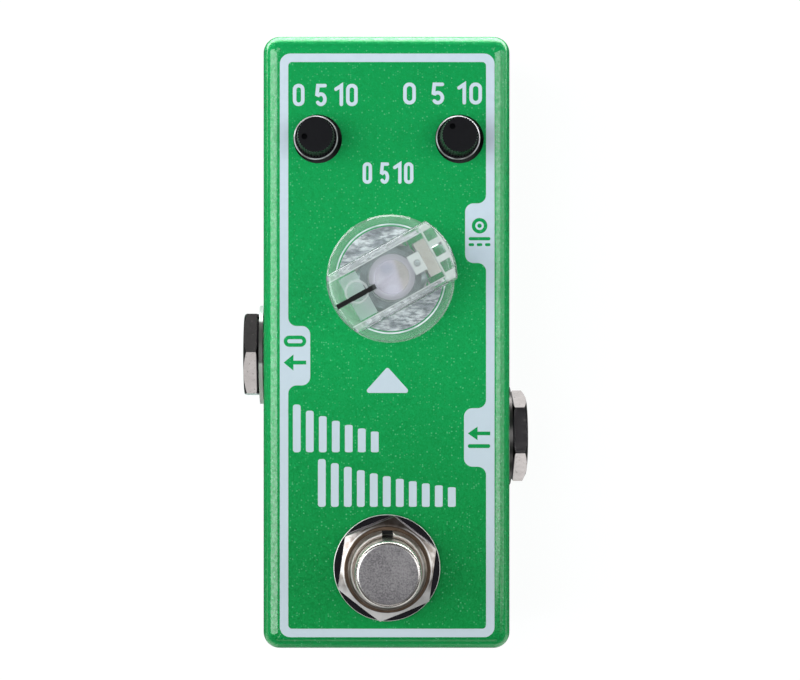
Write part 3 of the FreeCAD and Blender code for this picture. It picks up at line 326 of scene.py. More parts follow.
def clear_plastic():
    """Water-clear moulding with a little haze; on its roof, painted reflections of the thick walls under it as milky
    patches, a painted refraction of the shaft's end as a pale ring round the hub, and a painted darker band over the
    end wall.
    """
    clear = Finish("clear_plastic", IOR=1.49, Transmission_Weight=0.94)
    haze = clear.noise(420.0, 3.0)
    x, y = clear.axis("X") - TIME_AXIS[0] * MM, clear.axis("Y") - TIME_AXIS[1] * MM
    turn = math.radians(TIME_TURN)
    along, across = x * math.cos(turn) + y * math.sin(turn), y * math.cos(turn) - x * math.sin(turn)
    away, beside = clear.radius_from(*TIME_AXIS), across.math("ABSOLUTE")
    soft = 0.25 * MM
    roof = clear.axis("Z").step(44.8 * MM, 44.9 * MM)
    skirt = clear.axis("Z").step(36.6 * MM, 36.4 * MM) * away.step(8.5 * MM, 8.6 * MM)
    inlay = beside.step(0.55 * MM, 0.45 * MM)

    # Painted refraction: the roof is tinted darker green over the end wall, a painted shade.
    end_wall_painted_band = away.within(7.75 * MM, 8.15 * MM, soft) * along.step(-6.0 * MM, -6.6 * MM)
    end_wall_painted_band = end_wall_painted_band * roof * beside.step(0.45 * MM, 0.6 * MM)
    tone = clear.blend(haze, shade(228, 240, 237), shade(244, 250, 249))
    clear.set(Base_Color=clear.blend(end_wall_painted_band * 0.6, tone, shade(150, 196, 178)))
    clear.set(Roughness=0.01 + haze * 0.05, Normal=clear.bump(haze, 0.00005, 0.3))

    # Painted reflections: milky patches on the roof over the walls, the screw block and the ejector ring beneath it,
    # with a slight haze all over.
    rows = across.within(2.1 * MM, 3.5 * MM, soft) + across.within(-0.5 * MM, 0.95 * MM, soft)
    windows = (rows + across.within(-3.1 * MM, -1.7 * MM, soft)) * along.within(7.35 * MM, 8.75 * MM, soft)
    frame_end = along.step(6.7 * MM, 7.2 * MM) * (1.0 - windows)
    screw_way = clear.radius_from(4.22, 11.76).step(0.7 * MM, 0.3 * MM)
    screw_block = along.within(3.4 * MM, 5.1 * MM, soft) * across.within(-1.4 * MM, 1.4 * MM, soft)
    wall_edge = beside.within(3.7 * MM, 3.8 * MM, 0.08 * MM)
    side_walls = beside.step(3.55 * MM, 3.75 * MM) * along.step(7.0 * MM, 6.8 * MM)
    ejector_ring = clear.radius_from(-4.71, 7.51).within(1.5 * MM, 1.75 * MM, 0.12 * MM)
    haze_and_painted_walls = (frame_end * 0.75 + along.step(-6.9 * MM, -7.5 * MM) * 0.15 + screw_block * (0.75 - screw_way * 0.6)
            + side_walls * (0.2 + wall_edge * 0.35) + ejector_ring * 0.4 + 0.05 * (1.0 - inlay))
    haze_and_painted_walls = (haze_and_painted_walls * roof + skirt * 0.1) * (0.8 + haze * 0.4) * clear.facing("Z", "True Normal").step(0.5, 0.7)
    milky = clear.add("ShaderNodeBsdfDiffuse", {}, shade(217, 223, 219))

    # Painted refraction: a pale lavender ring round the hub spreads the shaft's end out under it.
    beyond_inlay = 1.0 - inlay * along.step(-2.6 * MM, -2.8 * MM)
    painted_hub_ring = away.within(2.7 * MM, 3.3 * MM, 0.3 * MM) * roof * beyond_inlay
    hub = clear.add("ShaderNodeBsdfDiffuse", {}, shade(183, 182, 189))
    return see_through(clear, 0.9, clear.mixed(painted_hub_ring * 0.6, clear.mixed(haze_and_painted_walls, clear.look, milky), hub))


def see_through(finish, share, look=None):
    """Lets that share of a lamp's light through a piece, so that it doesn't stand in its own shadow."""
    shadow = finish.add("ShaderNodeLightPath", {}, output="Is Shadow Ray")
    through = finish.add("ShaderNodeBsdfTransparent", {}, (0.93, 0.95, 0.95, 1))
    return finish.end_with(finish.mixed(shadow * share, look or finish.look, through))


def crinkled_film():
    """The skirt's underside, crinkled like foil, with a clear gap and a bright ring round it, a painted highlight.
    """
    film = Finish("crinkled_film", Metallic=0.55)
    crease = film.noise(950.0, 4.0, 0.65, (1.0, 3.0, 1.0))
    broad = film.noise(230.0, 2.0, 0.5, (1.0, 1.8, 1.0))
    away = film.radius_from(*TIME_AXIS)
    # Painted highlight: the bright ring where the recess's inner wall is.
    rim = away.within(8.2 * MM, 8.4 * MM, 0.05 * MM)
    foil = film.blend(crease.step(0.36, 0.62), shade(138, 138, 142), shade(226, 224, 226))
    foil = film.blend(broad.step(0.52, 0.38) * 0.65, foil, shade(96, 100, 106))
    pale_metal = film.blend(broad.step(0.35, 0.6), shade(176, 196, 190), shade(244, 246, 246))
    film.set(Base_Color=film.blend(rim, foil, pale_metal), Roughness=0.3 + broad * 0.15)
    film.set(Normal=film.bump(crease * 0.4 + broad, 0.00022, 1.0))
    gap = away.step(7.95 * MM, 8.0 * MM) * (1 - rim)
    through = film.add("ShaderNodeBsdfTransparent", {}, (0.97, 1.0, 0.99, 1))
    return see_through(film, 0.5, film.mixed(gap, film.look, through))


def shaft_end():
    """The pale end of the time pot's shaft, which the hub's dished end makes look domed; that dome is painted on as
    light and shade.
    """
    end = Finish("shaft_end", Metallic=0.2, Roughness=0.5, Specular_IOR_Level=0.3)
    across, up = end.axis("X") - TIME_AXIS[0] * MM, end.axis("Y") - TIME_AXIS[1] * MM
    turn = math.radians(TIME_TURN - 12)
    along = across * math.cos(turn) + up * math.sin(turn)
    # Painted light and shade for the dome: a darker side, lighter and darker blobs, and a darker rim.
    tone = end.blend(along.step(0.5 * MM, 1.5 * MM), shade(190, 172, 187), shade(168, 150, 147))
    for x, y, reach, share, colour in ((-0.7, 1.3, 1.5, 0.7, shade(160, 148, 166)),
                                       (0.1, -1.9, 1.3, 0.6, shade(205, 189, 208)),
                                       (-2.0, -0.4, 1.2, 0.5, shade(202, 185, 196))):
        shading_blob = end.radius_from(TIME_AXIS[0] + x, TIME_AXIS[1] + y).step(reach * MM, 0.3 * reach * MM)
        tone = end.blend(shading_blob * share, tone, colour)
    tone = end.blend(end.radius_from(*TIME_AXIS).step(2.6 * MM, 3.1 * MM) * 0.4, tone, shade(156, 146, 150))
    end.set(Base_Color=end.blend(end.noise(420.0, 2.0) * 0.2, tone, shade(206, 192, 200)))
    return end.material


def frosted():
    """The knob's roof from inside: spark-eroded, so it looks milky."""
    frost = Finish("frosted_clear", IOR=1.49, Transmission_Weight=0.55, Roughness=0.45)
    grain = frost.noise(1600.0, 2.0)
    frost.set(Base_Color=frost.blend(grain, shade(186, 196, 194), shade(206, 214, 212)))
    frost.set(Normal=frost.bump(grain, 0.00003, 0.5))
    return see_through(frost, 0.7)


PAINT = flake_paint()
INK = print_ink()
NICKEL = plated("nickel_plate", shade(180, 172, 166), shade(212, 206, 200), 0.32, bump=0.9)
JACK_NICKEL = jack_plate()
WASHER_NICKEL = washer_plate()
CHROME = plated("dark_chrome", shade(150, 146, 150), shade(176, 172, 176), 0.07, bump=0.2)
# A bright plating for the dress washer's edge, a painted highlight.
BRIGHT_EDGE = plated("highlight_edge_plate", shade(244, 240, 236), shade(255, 252, 250), 0.5)
STEEL = plated("bright_steel", shade(168, 168, 170), shade(196, 196, 196), 0.32)
SATIN = brushed_button()
SWITCH_NUT = switch_plate()
KEY_SLOT = slot_shade()
THREAD_BROWN = plated("thread_brown", shade(96, 80, 68), shade(190, 180, 170), 0.32, bump=0.9)
POT_METAL = plated("pot_shell", shade(170, 168, 162), shade(200, 198, 192), 0.3)
BRASS = plated("insert_metal", shade(176, 160, 152), shade(204, 190, 182), 0.34)
KNOB_BLACK = moulded("knob_black", shade(10, 9, 12), shade(18, 17, 21), 0.3, Specular_IOR_Level=0.12)
# Painted shade: a deeper, duller black for the dimple in the small knobs' tops.
DIMPLE_PAINTED_SHADE = moulded("dimple_painted_shade", shade(2, 2, 3), shade(6, 6, 8), 0.8, Specular_IOR_Level=0.05)
POINTER_BLACK = moulded("pointer_black", shade(8, 6, 6), shade(16, 13, 13), 0.3, Specular_IOR_Level=0.2)
BLACK_PLASTIC = moulded("black_plastic", shade(24, 24, 26), shade(38, 38, 40), 0.45)
SWITCH_PLASTIC = moulded("switch_plastic", shade(24, 44, 110), shade(34, 60, 134), 0.35)
PLATE_BLACK = moulded("powder_black", shade(26, 26, 28), shade(52, 52, 55), 0.5, 700.0, 1.0)
RUBBER = moulded("foot_rubber", shade(22, 22, 23), shade(36, 36, 37), 0.72, 900.0, 0.8)
BOARD = moulded("solder_mask", shade(10, 70, 40), shade(18, 96, 54), 0.35, 300.0)
LENS = moulded("light_lens", shade(214, 222, 226), shade(232, 238, 240), 0.12, Coat_Weight=1.0)
CLEAR = clear_plastic()
FILM = crinkled_film()
FROST = frosted()
SHAFT_WHITE = shaft_end()
DARK_METAL = plated("dark_metal", shade(84, 82, 82), shade(118, 114, 112), 0.3)
GREY_METAL = plated("grey_metal", shade(116, 120, 122), shade(158, 160, 162), 0.3)

SLOT_FINISH = {
    "green_paint": PAINT, "plate_black": PLATE_BLACK, "steel": STEEL, "rubber": RUBBER, "board": BOARD,
    "black_plastic": BLACK_PLASTIC, "switch_plastic": SWITCH_PLASTIC, "pot_metal": POT_METAL,
    "nickel": NICKEL, "chrome": CHROME, "brushed": SATIN, "brass": BRASS, "light_lens": LENS,
    "clear": CLEAR, "pointer_black": POINTER_BLACK, "knob_black": KNOB_BLACK,
}
SLOT_OF = {part["node"]: part["material_slot"] for part in frame["record"]["subparts"]}
BODY_OF = {name: body for body, names in frame["record"]["behaviour"]["bodies"].items() for name in names}


# ---- pieces ----

def new_piece(name, mesh, material, body, slot, *replaced):
    """An object for a finished mesh, at the origin, with its finish and body; the slot it is given is not used."""
    mesh.materials.clear()
    mesh.materials.append(material)
    piece = bpy.data.objects.new(name, mesh)
    bpy.context.scene.collection.objects.link(piece)
    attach(piece, body)
    if replaced:
        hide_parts(*replaced)
    return piece


def soften(mesh, angle=32.0):
    """Smooth shading with creases over an angle, and flat faces that stay flat beside rounded edges."""
    mesh.polygons.foreach_set("use_smooth", [True] * len(mesh.polygons))
    mesh.set_sharp_from_angle(angle=math.radians(angle))
    holder = bpy.data.objects.new("holder", mesh)
    bpy.context.scene.collection.objects.link(holder)
    weighted = holder.modifiers.new("flat_faces", "WEIGHTED_NORMAL")
    weighted.keep_sharp = True
    weighted.weight = 100
    graph = bpy.context.evaluated_depsgraph_get()
    smooth = bpy.data.meshes.new_from_object(holder.evaluated_get(graph))
    bpy.data.objects.remove(holder)
    return smooth


def merged_copy(node):
    """A merged copy of a CAD node's mesh."""
    mesh = nodes[node].data.copy()
    if mesh.has_custom_normals:
        with_normals = mesh.attributes.get("custom_normal")
        if with_normals:
            mesh.attributes.remove(with_normals)
    work = bmesh.new()
    work.from_mesh(mesh)
    bmesh.ops.remove_doubles(work, verts=work.verts, dist=1e-7)
    work.to_mesh(mesh)
    work.free()
    return mesh


def smooth_part(node, material=None):
    """The node's own shape with smooth shading, standing for the node."""
    mesh = soften(merged_copy(node), 15.0 if node.endswith("nut") else 32.0)
    return new_piece(node + "_smooth", mesh, material or SLOT_FINISH[SLOT_OF[node]], BODY_OF[node],
                     SLOT_OF[node], node)


def repeated(unit, count, step=(0, 0, 0), shrink=1.0, material=None):
    """Copies of a closed mesh in a row, each a share as tall in Y as the one before, as one plain mesh."""
    group = bpy.data.node_groups.new("repeat", "GeometryNodeTree")
    group.interface.new_socket("Geometry", in_out="OUTPUT", socket_type="NodeSocketGeometry")
    inputs = {}
    for title, kind in (("Unit", "Object"), ("Count", "Int"), ("Step", "Vector"), ("Shrink", "Float"),
                        ("Material", "Material")):
        socket = group.interface.new_socket(title, in_out="INPUT", socket_type="NodeSocket" + kind)
        inputs[title] = socket.identifier
    made = {}
    for title, kind in (("given", "NodeGroupInput"), ("row", "GeometryNodeMeshLine"),
                        ("unit", "GeometryNodeObjectInfo"), ("number", "GeometryNodeInputIndex"),
                        ("share", "ShaderNodeMath"), ("size", "ShaderNodeCombineXYZ"),
                        ("copies", "GeometryNodeInstanceOnPoints"), ("real", "GeometryNodeRealizeInstances"),
                        ("finish", "GeometryNodeSetMaterial"), ("done", "NodeGroupOutput")):
        made[title] = group.nodes.new(kind)
    made["share"].operation = "POWER"
    made["size"].inputs["X"].default_value = 1.0
    made["size"].inputs["Z"].default_value = 1.0
    for source, out, target, into in (
            ("given", "Unit", "unit", "Object"), ("given", "Count", "row", "Count"),
            ("given", "Step", "row", "Offset"), ("given", "Shrink", "share", 0), ("number", "Index", "share", 1),
            ("share", 0, "size", "Y"), ("row", "Mesh", "copies", "Points"),
            ("unit", "Geometry", "copies", "Instance"),
            ("size", "Vector", "copies", "Scale"), ("copies", "Instances", "real", "Geometry"),
            ("real", "Geometry", "finish", "Geometry"), ("given", "Material", "finish", "Material"),
            ("finish", "Geometry", "done", "Geometry")):
        group.links.new(made[source].outputs[out], made[target].inputs[into])
    pattern = bpy.data.objects.new("pattern", unit)
    holder = bpy.data.objects.new("holder", bpy.data.meshes.new("empty"))
    for thing in (pattern, holder):
        bpy.context.scene.collection.objects.link(thing)
    repeat = holder.modifiers.new("repeat", "NODES")
    repeat.node_group = group
    for title, value in (("Unit", pattern), ("Count", count), ("Step", step), ("Shrink", shrink),
                         ("Material", material)):
        repeat[inputs[title]] = value
    graph = bpy.context.evaluated_depsgraph_get()
    mesh = bpy.data.meshes.new_from_object(holder.evaluated_get(graph))
    for thing in (pattern, holder):
        bpy.data.objects.remove(thing)
    bpy.data.node_groups.remove(group)
    return mesh


def swept(profile, start=0.0, end=360.0, steps=96):
    """A closed mesh from an anticlockwise (radius, height) outline in mm, swept about Z between two angles."""
    whole = abs(end - start - 360.0) < 1e-6
    count = steps if whole else steps + 1
    points = []
    for turn in range(count):
        angle = math.radians(start + (end - start) * turn / steps)
        points += [(r * MM * math.cos(angle), r * MM * math.sin(angle), z * MM) for r, z in profile]
    size = len(profile)
    faces = []
    for turn in range(steps):
        this, following = turn * size, ((turn + 1) % count) * size
        for edge in range(size):
            after = (edge + 1) % size
            faces.append((this + edge, following + edge, following + after, this + after))
    if not whole:
        faces.append(tuple(range(size)))
        faces.append(tuple(reversed(range((count - 1) * size, count * size))))
    mesh = bpy.data.meshes.new("swept")
    mesh.from_pydata(points, [], faces)
    mesh.update()
    return outward(mesh)


def outward(mesh):
    work = bmesh.new()
    work.from_mesh(mesh)
    bmesh.ops.recalc_face_normals(work, faces=work.faces)
    work.to_mesh(mesh)
    work.free()
    return mesh


# ---- pieces with more detail than their nodes ----

def painted_case():
    """The case, its edge round let a little way into the face so that it starts softly."""
    mesh = merged_copy("case_shell")
    flat = [vertex for vertex in mesh.vertices if abs(vertex.co.z - FACE_Z * MM) < 1e-6]
    half_width = max(vertex.co.x for vertex in flat)
    half_length = max(vertex.co.y for vertex in flat)
    soft = 0.4 * MM
    for vertex in flat:
        if abs(vertex.co.x) > half_width - MM or abs(vertex.co.y) > half_length - MM:
            vertex.co.x *= 1 - soft / half_width
            vertex.co.y *= 1 - soft / half_length
    new_piece("case_shell_smooth", soften(mesh), PAINT, "case", "green_paint", "case_shell")


def threaded_bushing():
    """The footswitch's bushing turned down to the root of its thread, with the thread's ridges round it."""
    x, y = SWITCH_AXIS
    root, slot_half_angle = 5.8, 8.6
    mesh = merged_copy("footswitch_bushing")
    for vertex in mesh.vertices:
        reach = math.hypot(vertex.co.x - x * MM, vertex.co.y - y * MM)
        if reach > 5.95 * MM:
            vertex.co.x = x * MM + (vertex.co.x - x * MM) * root * MM / reach
            vertex.co.y = y * MM + (vertex.co.y - y * MM) * root * MM / reach
    mesh = soften(mesh)
    new_piece("footswitch_bushing_smooth", mesh, NICKEL, BODY_OF["footswitch_bushing"], "nickel",
              "footswitch_bushing")
    def in_slot(face):
        at = face.center
        return abs(at.x) < 0.9 * MM and at.y > (y + 4.5) * MM and at.z > (FACE_Z + 0.2) * MM
    add_finish(mesh, KEY_SLOT, in_slot)
    ridge = swept([(5.7, -0.26), (6.0, -0.04), (6.0, 0.04), (5.7, 0.26)],
                  90 + slot_half_angle, 450 - slot_half_angle, 90)
    ridges = repeated(ridge, 3, step=(0, 0, 0.62 * MM), material=THREAD_BROWN)
    ridges.transform(Matrix.Translation((x * MM, y * MM, (FACE_Z + 3.75) * MM)))
    new_piece("footswitch_thread", soften(ridges), THREAD_BROWN, BODY_OF["footswitch_bushing"], "nickel")


def add_finish(mesh, material, wanted):
    """Gives the faces that a test picks a finish of their own."""
    mesh.materials.append(material)
    for face in mesh.polygons:
        if wanted(face):
            face.material_index = len(mesh.materials) - 1


def ringed_black(name, x, y):
    """Knob black with a thin pale ring, a painted highlight, where the flange's edge slopes."""
    black = Finish(name, Specular_IOR_Level=0.12)
    cloud = black.noise(1400.0, 3.0)
    flange = black.axis("Z").step(34.0 * MM, 33.9 * MM)
    # Painted highlight: a pale, partly metallic ring on the flange's sloping edge.
    ring = black.radius_from(x, y).within(3.24 * MM, 3.36 * MM, 0.05 * MM) * flange
    unevenness = black.noise(500.0, 2.0).step(0.3, 0.6)
    highlight_tone = black.blend(unevenness, shade(150, 146, 146), shade(232, 230, 232))
    black.set(Base_Color=black.blend(ring, black.blend(cloud, shade(10, 9, 12), shade(18, 17, 21)), highlight_tone))
    black.set(Metallic=ring * 0.5, Roughness=0.3 + ring * 0.15, Normal=black.bump(cloud, 0.00002, 0.4))
    return black.material


def small_knob(node, x, y):
    """A small knob, its grip a little fuller at the top, its flange's edge bright with a painted highlight and its
    dimple painted deeper black as painted shade.
    """
    fuller, core, dimple_reach = 1.06, 2.3, 2.35
    mesh = merged_copy(node)
    for vertex in mesh.vertices:
        away = Vector((vertex.co.x - x * MM, vertex.co.y - y * MM))
        if vertex.co.z > (FACE_Z + 6.0) * MM and away.length > core * MM:
            away *= fuller
            vertex.co.x, vertex.co.y = x * MM + away.x, y * MM + away.y
    mesh = soften(mesh)
    new_piece(node + "_smooth", mesh, ringed_black(node + "_black", x, y), BODY_OF[node], "knob_black", node)
    # Painted shade: the dimple's faces get the deeper black.
    def in_dimple(face):
        across = math.hypot(face.center.x - x * MM, face.center.y - y * MM)
        return across < dimple_reach * MM and FACE_Z + 5.2 < face.center.z / MM < FACE_Z + 6.19
    add_finish(mesh, DIMPLE_PAINTED_SHADE, in_dimple)


def outwards(face, x, y):
    """How far a face's normal points away from an upright axis."""
    away = Vector((face.center.x - x * MM, face.center.y - y * MM)).normalized()
    return away.x * face.normal.x + away.y * face.normal.y


def footswitch_washer():
    """The dress washer: dark and polished, its edge given a bright plating of its own as a painted highlight."""
    mesh = swept([(5.98, 0.0), (8.2, 0.0), (8.2, 0.79), (8.16, 0.87), (8.1, 0.9), (5.98, 0.9)], steps=120)
    mesh.transform(Matrix.Translation((SWITCH_AXIS[0] * MM, SWITCH_AXIS[1] * MM, FACE_Z * MM)))
    mesh = soften(mesh, 15.0)
    new_piece("footswitch_washer_smooth", mesh, CHROME, "case", "chrome", "footswitch_washer")
    def on_edge(face):
        return 0.1 < face.normal.z < 0.98 and outwards(face, *SWITCH_AXIS) > 0.1
    # Painted highlight: the sloping edge gets the bright plating.
    add_finish(mesh, BRIGHT_EDGE, on_edge)


def in_knob_axes(point):
    """A point of the clear knob in mm: along its grip, across it and over the face."""
    x, y = point.x / MM - TIME_AXIS[0], point.y / MM - TIME_AXIS[1]
    c, s = math.cos(math.radians(TIME_TURN)), math.sin(math.radians(TIME_TURN))
    return x * c + y * s, -x * s + y * c, point.z / MM - FACE_Z


def clear_knob():
    """The clear knob, its skirt's underside crinkled beside the grip and its pocket's ceiling frosted."""
    mesh = soften(merged_copy("time_knob"))
    new_piece("time_knob_smooth", mesh, CLEAR, BODY_OF["time_knob"], "clear", "time_knob")
    def under_skirt(face):
        along, across, height = in_knob_axes(face.center)
        return face.normal.z < -0.5 and abs(height - 2.9) < 0.15 and math.hypot(along, across) < 8.6
    def on_panel(face):
        along, across, height = in_knob_axes(face.center)
        return face.normal.z < -0.5 and height > 10.1 and -7.25 < along < -4.2 and abs(across) < 3.5
    add_finish(mesh, FILM, under_skirt)
    add_finish(mesh, FROST, on_panel)


def pointer_bar(node):
    """The black inlay, a little wider than its node, reaching in to the hub and just under the roof."""
    wider, outer_end, inner_end, sunk = 1.17, -9.3, -2.75, 0.005
    mesh = merged_copy(node)
    c, s = math.cos(math.radians(TIME_TURN)), math.sin(math.radians(TIME_TURN))
    for vertex in mesh.vertices:
        along, across, _ = in_knob_axes(vertex.co)
        along = max(along, outer_end) if along < -4.0 else inner_end
        across *= wider
        vertex.co.x = (TIME_AXIS[0] + along * c - across * s) * MM
        vertex.co.y = (TIME_AXIS[1] + along * s + across * c) * MM
        vertex.co.z -= sunk * MM
    new_piece(node + "_smooth", soften(mesh), POINTER_BLACK, BODY_OF[node], "pointer_black", node)


# ---- print on the face ----

def arc(x, y, radius, start, end, steps=8):
    """Points on an arc, angles in degrees."""
    turns = [math.radians(start + (end - start) * step / steps) for step in range(steps + 1)]
    return [(x + radius * math.cos(turn), y + radius * math.sin(turn)) for turn in turns]


def rounded(left, bottom, right, top, radius):
    """A rectangle with rounded corners, anticlockwise from its lower right."""
    low, high, near, far = bottom + radius, top - radius, left + radius, right - radius
    return (arc(far, low, radius, -90, 0) + arc(far, high, radius, 0, 90)
            + arc(near, high, radius, 90, 180) + arc(near, low, radius, 180, 270))


def stroke(points, width):
    """The outline of a line of a given width with round ends, along points."""
    half = width / 2
    line = [Vector(point) for point in points]
    sides = [[], []]
    for index, point in enumerate(line):
        before = line[max(index - 1, 0)]
        after = line[min(index + 1, len(line) - 1)]
        first = (point - before).normalized() if index else (after - point).normalized()
        second = (after - point).normalized() if index < len(line) - 1 else first
        middle = (first + second).normalized()
        reach = half / max(0.35, middle.dot(first))
        across = Vector((-middle.y, middle.x)) * reach
        sides[0].append(point + across)
        sides[1].append(point - across)
    def cap(end, inward):
        turn = math.degrees(math.atan2(-inward.y, -inward.x))
        return arc(end.x, end.y, half, turn - 90, turn + 90, 8)[1:-1]
    start = cap(line[0], (line[1] - line[0]).normalized())
    finish = cap(line[-1], (line[-2] - line[-1]).normalized())
    right = [tuple(p) for p in sides[1]]
    left = [tuple(p) for p in reversed(sides[0])]
    return right + finish + left + start


def moved(outline, x, y):
    return [(x + a, y + b) for a, b in outline]


def bowl(x, y, across, up, start, end, steps=16):
    """Points on part of an ellipse, angles in degrees."""
    return [(x + across * a, y + up * b) for a, b in arc(0, 0, 1, start, end, steps)]


def digit(character, height, width, line):
    """Outlines of one plain digit with its lower left corner at the origin."""
    half = line / 2
    if character == "0":
        outer = rounded(0, 0, width, height, width * 0.48)
        inner = rounded(line, line, width - line, height - line, width * 0.48 - line * 0.9)
        return [outer, inner]
    if character == "1":
        stem = width - half
        return [stroke([(stem - 0.24 * height, height * 0.76), (stem, height - half), (stem, half)], line)]
    across, up = (width - line) / 2, (height * 0.62 - line) / 2
    round_part = bowl(width / 2, up + half, across, up, 128, -140)
    return [stroke([(width - half, height - half), (half * 1.6, height - half), (half * 1.1, height * 0.52)]
                   + round_part, line)]


def word(text, left, bottom, height, width, gap, space, line):
    """Outlines of digits in a row."""
    outlines = []
    for character in text:
        if character == " ":
            left += space
            continue
        wide = width * (0.5 if character == "1" else 1.0)
        outlines += [moved(outline, left, bottom) for outline in digit(character, height, wide, line)]
        left += wide + gap
    return outlines


def ink_mesh(name, outlines, thickness=0.02):
    """Flat ink at the face: even-odd fill of outlines, with the ink's own thickness."""
    curve = bpy.data.curves.new(name, "CURVE")
    curve.dimensions = "2D"
    curve.fill_mode = "BOTH"
    curve.extrude = thickness / 2
    for outline in outlines:
        line = curve.splines.new("POLY")
        line.points.add(len(outline) - 1)
        for point, (x, y) in zip(line.points, outline):
            point.co = (x, y, 0, 1)
        line.use_cyclic_u = True
    holder = bpy.data.objects.new(name, curve)
    bpy.context.scene.collection.objects.link(holder)
    graph = bpy.context.evaluated_depsgraph_get()
    mesh = bpy.data.meshes.new_from_object(holder.evaluated_get(graph))
    bpy.data.objects.remove(holder)
    mesh.transform(Matrix.Scale(MM, 4) @ Matrix.Translation((0, 0, FACE_Z + thickness / 2)))
    return mesh


def ink_piece(name, outlines):
    return new_piece(name, ink_mesh(name, outlines), INK, "case", "green_paint")


def tab(side, edge, reach, low, high, radius):
    """The inner outline's run round a tab that stands in from one side of the border, going up that side."""
    if side > 0:
        return (arc(edge - radius, low - radius, radius, 0, 90) + arc(reach + radius, low + radius, radius, 270, 180)
                + arc(reach + radius, high - radius, radius, 180, 90)
                + arc(edge - radius, high + radius, radius, 270, 360))
    return (arc(edge + radius, high + radius, radius, 180, 270) + arc(reach - radius, high - radius, radius, 90, 0)
            + arc(reach - radius, low + radius, radius, 0, -90)
            + arc(edge + radius, low - radius, radius, 90, 180))


def arrow(tail_x, tip_x, y, head, spread, half_line):
    """A plain arrow's outline: a solid head of a given length and half width, and a shaft."""
    way = 1 if tip_x > tail_x else -1
    neck = tip_x - way * head
    return [(tip_x, y), (neck, y + spread), (neck, y + half_line), (tail_x, y + half_line), (tail_x, y - half_line),
            (neck, y - half_line), (neck, y - spread)]


def face_print():
    """The border with its tabs and marks, the dials' numbers, the triangle and the rows of bars."""
    left, right, bottom, top = -16.46, 16.57, -45.35, 44.44
    line, corner, tab_corner = 1.3, 0.6, 1.3
    inner_left, inner_right, low, high = left + line, right - line, bottom + line + corner, top - line - corner
    inner_outline = (arc(inner_right - corner, low, corner, -90, 0)
                     + tab(1, inner_right, 11.88, -19.12, -10.12, tab_corner)
                     + tab(1, inner_right, 12.05, 12.22, 21.39, tab_corner)
                     + arc(inner_right - corner, high, corner, 0, 90)
                     + arc(inner_left + corner, high, corner, 90, 180)
                     + tab(-1, inner_left, -11.78, -6.61, 2.52, tab_corner)
                     + arc(inner_left + corner, low, corner, 180, 270))
    output_ring = [rounded(-15.86, -0.68, -12.4, 1.05, 0.86), rounded(-15.3, -0.12, -12.96, 0.49, 0.3)]
    output_arrow = arrow(-12.4, -15.86, -3.1, 1.5, 1.25, 0.3)
    input_arrow, input_bar = arrow(15.91, 12.46, -14.0, 1.5, 1.05, 0.28), rounded(12.46, -16.25, 15.91, -15.65, 0.3)
    inlet_rings = [arc(14.27, 17.95, radius, 0, 360, steps)[:-1]
                   for radius, steps in ((1.2, 24), (0.66, 24), (0.34, 16))]
    inlet_line = rounded(12.58, 15.7, 15.95, 16.2, 0.25)
    inlet_dashes = [rounded(dash, 14.81, dash + 0.85, 15.26, 0.2) for dash in (12.58, 13.84, 15.1)]
    ink_piece("border_print", [rounded(left, bottom, right, top, 1.6), inner_outline, *output_ring, output_arrow,
                               input_arrow, input_bar, *inlet_rings, inlet_line, *inlet_dashes])
    scale = "0 5 10"
    numbers = word(scale, left=-14.46, bottom=36.35, height=3.43, width=1.8, gap=0.45, space=1.17, line=0.55)
    numbers += word(scale, left=2.52, bottom=36.6, height=3.38, width=1.95, gap=0.5, space=1.9, line=0.55)
    numbers += word(scale, left=-3.72, bottom=24.4, height=3.3, width=1.45, gap=0.38, space=0.8, line=0.52)
    ink_piece("dial_numbers", numbers)
    ink_piece("pointer_triangle", [round_corners([(0.1, -3.76), (3.7, -7.77), (-3.5, -7.77)], 0.35)])
    bar_width, bar_height, pitch = 1.2, 7.35, 2.0
    for row, (count, start, foot, ratio) in enumerate(((7, -14.45, -16.9, 0.87), (11, -10.6, -25.3, 0.915)), 1):
        bar = ink_mesh("bar", [rounded(0, 0, bar_width, bar_height, 0.4)])
        bars = repeated(bar, count, step=(pitch * MM, 0, 0), shrink=ratio, material=INK)
        bars.transform(Matrix.Translation((start * MM, foot * MM, 0)))
        new_piece("echo_bars_%d" % row, bars, INK, "case", "green_paint")


def round_corners(points, radius):
    """A polygon with its corners rounded, points given anticlockwise or clockwise."""
    outline = []
    for index, point in enumerate(points):
        here = Vector(point)
        back = (Vector(points[index - 1]) - here).normalized()
        ahead = (Vector(points[(index + 1) % len(points)]) - here).normalized()
        half = back.angle(ahead) / 2
        middle = here + (back + ahead).normalized() * radius / math.sin(half)
        start = here + back * radius / math.tan(half)
        end = here + ahead * radius / math.tan(half)
        a, b = (start - middle), (end - middle)
        turn = math.atan2(a.y, a.x)
        sweep = (math.atan2(b.y, b.x) - turn + math.pi) % (2 * math.pi) - math.pi
        for step in range(7):
            angle = turn + sweep * step / 6
            outline.append((middle.x + radius * math.cos(angle), middle.y + radius * math.sin(angle)))
    return outline


# ---- put it together ----

HIDDEN = {
    "main_board", "control_board", "connector_socket", "connector_header", "delay_chip", "small_chips",
    "capacitors", "time_pot_body", "level_pot_body", "level_pot_shaft", "repeat_pot_body", "repeat_pot_shaft",
    "status_light_legs", "output_jack_pins", "input_jack_pins", "power_inlet_tabs", "footswitch_housing",
    "footswitch_inner_nut", "footswitch_lock_washer", "footswitch_terminals", "footswitch_spring",
}
SPECIAL = {
    "case_shell", "footswitch_bushing", "time_knob", "time_knob_pointer", "level_knob", "repeat_knob",
    "footswitch_washer",
}
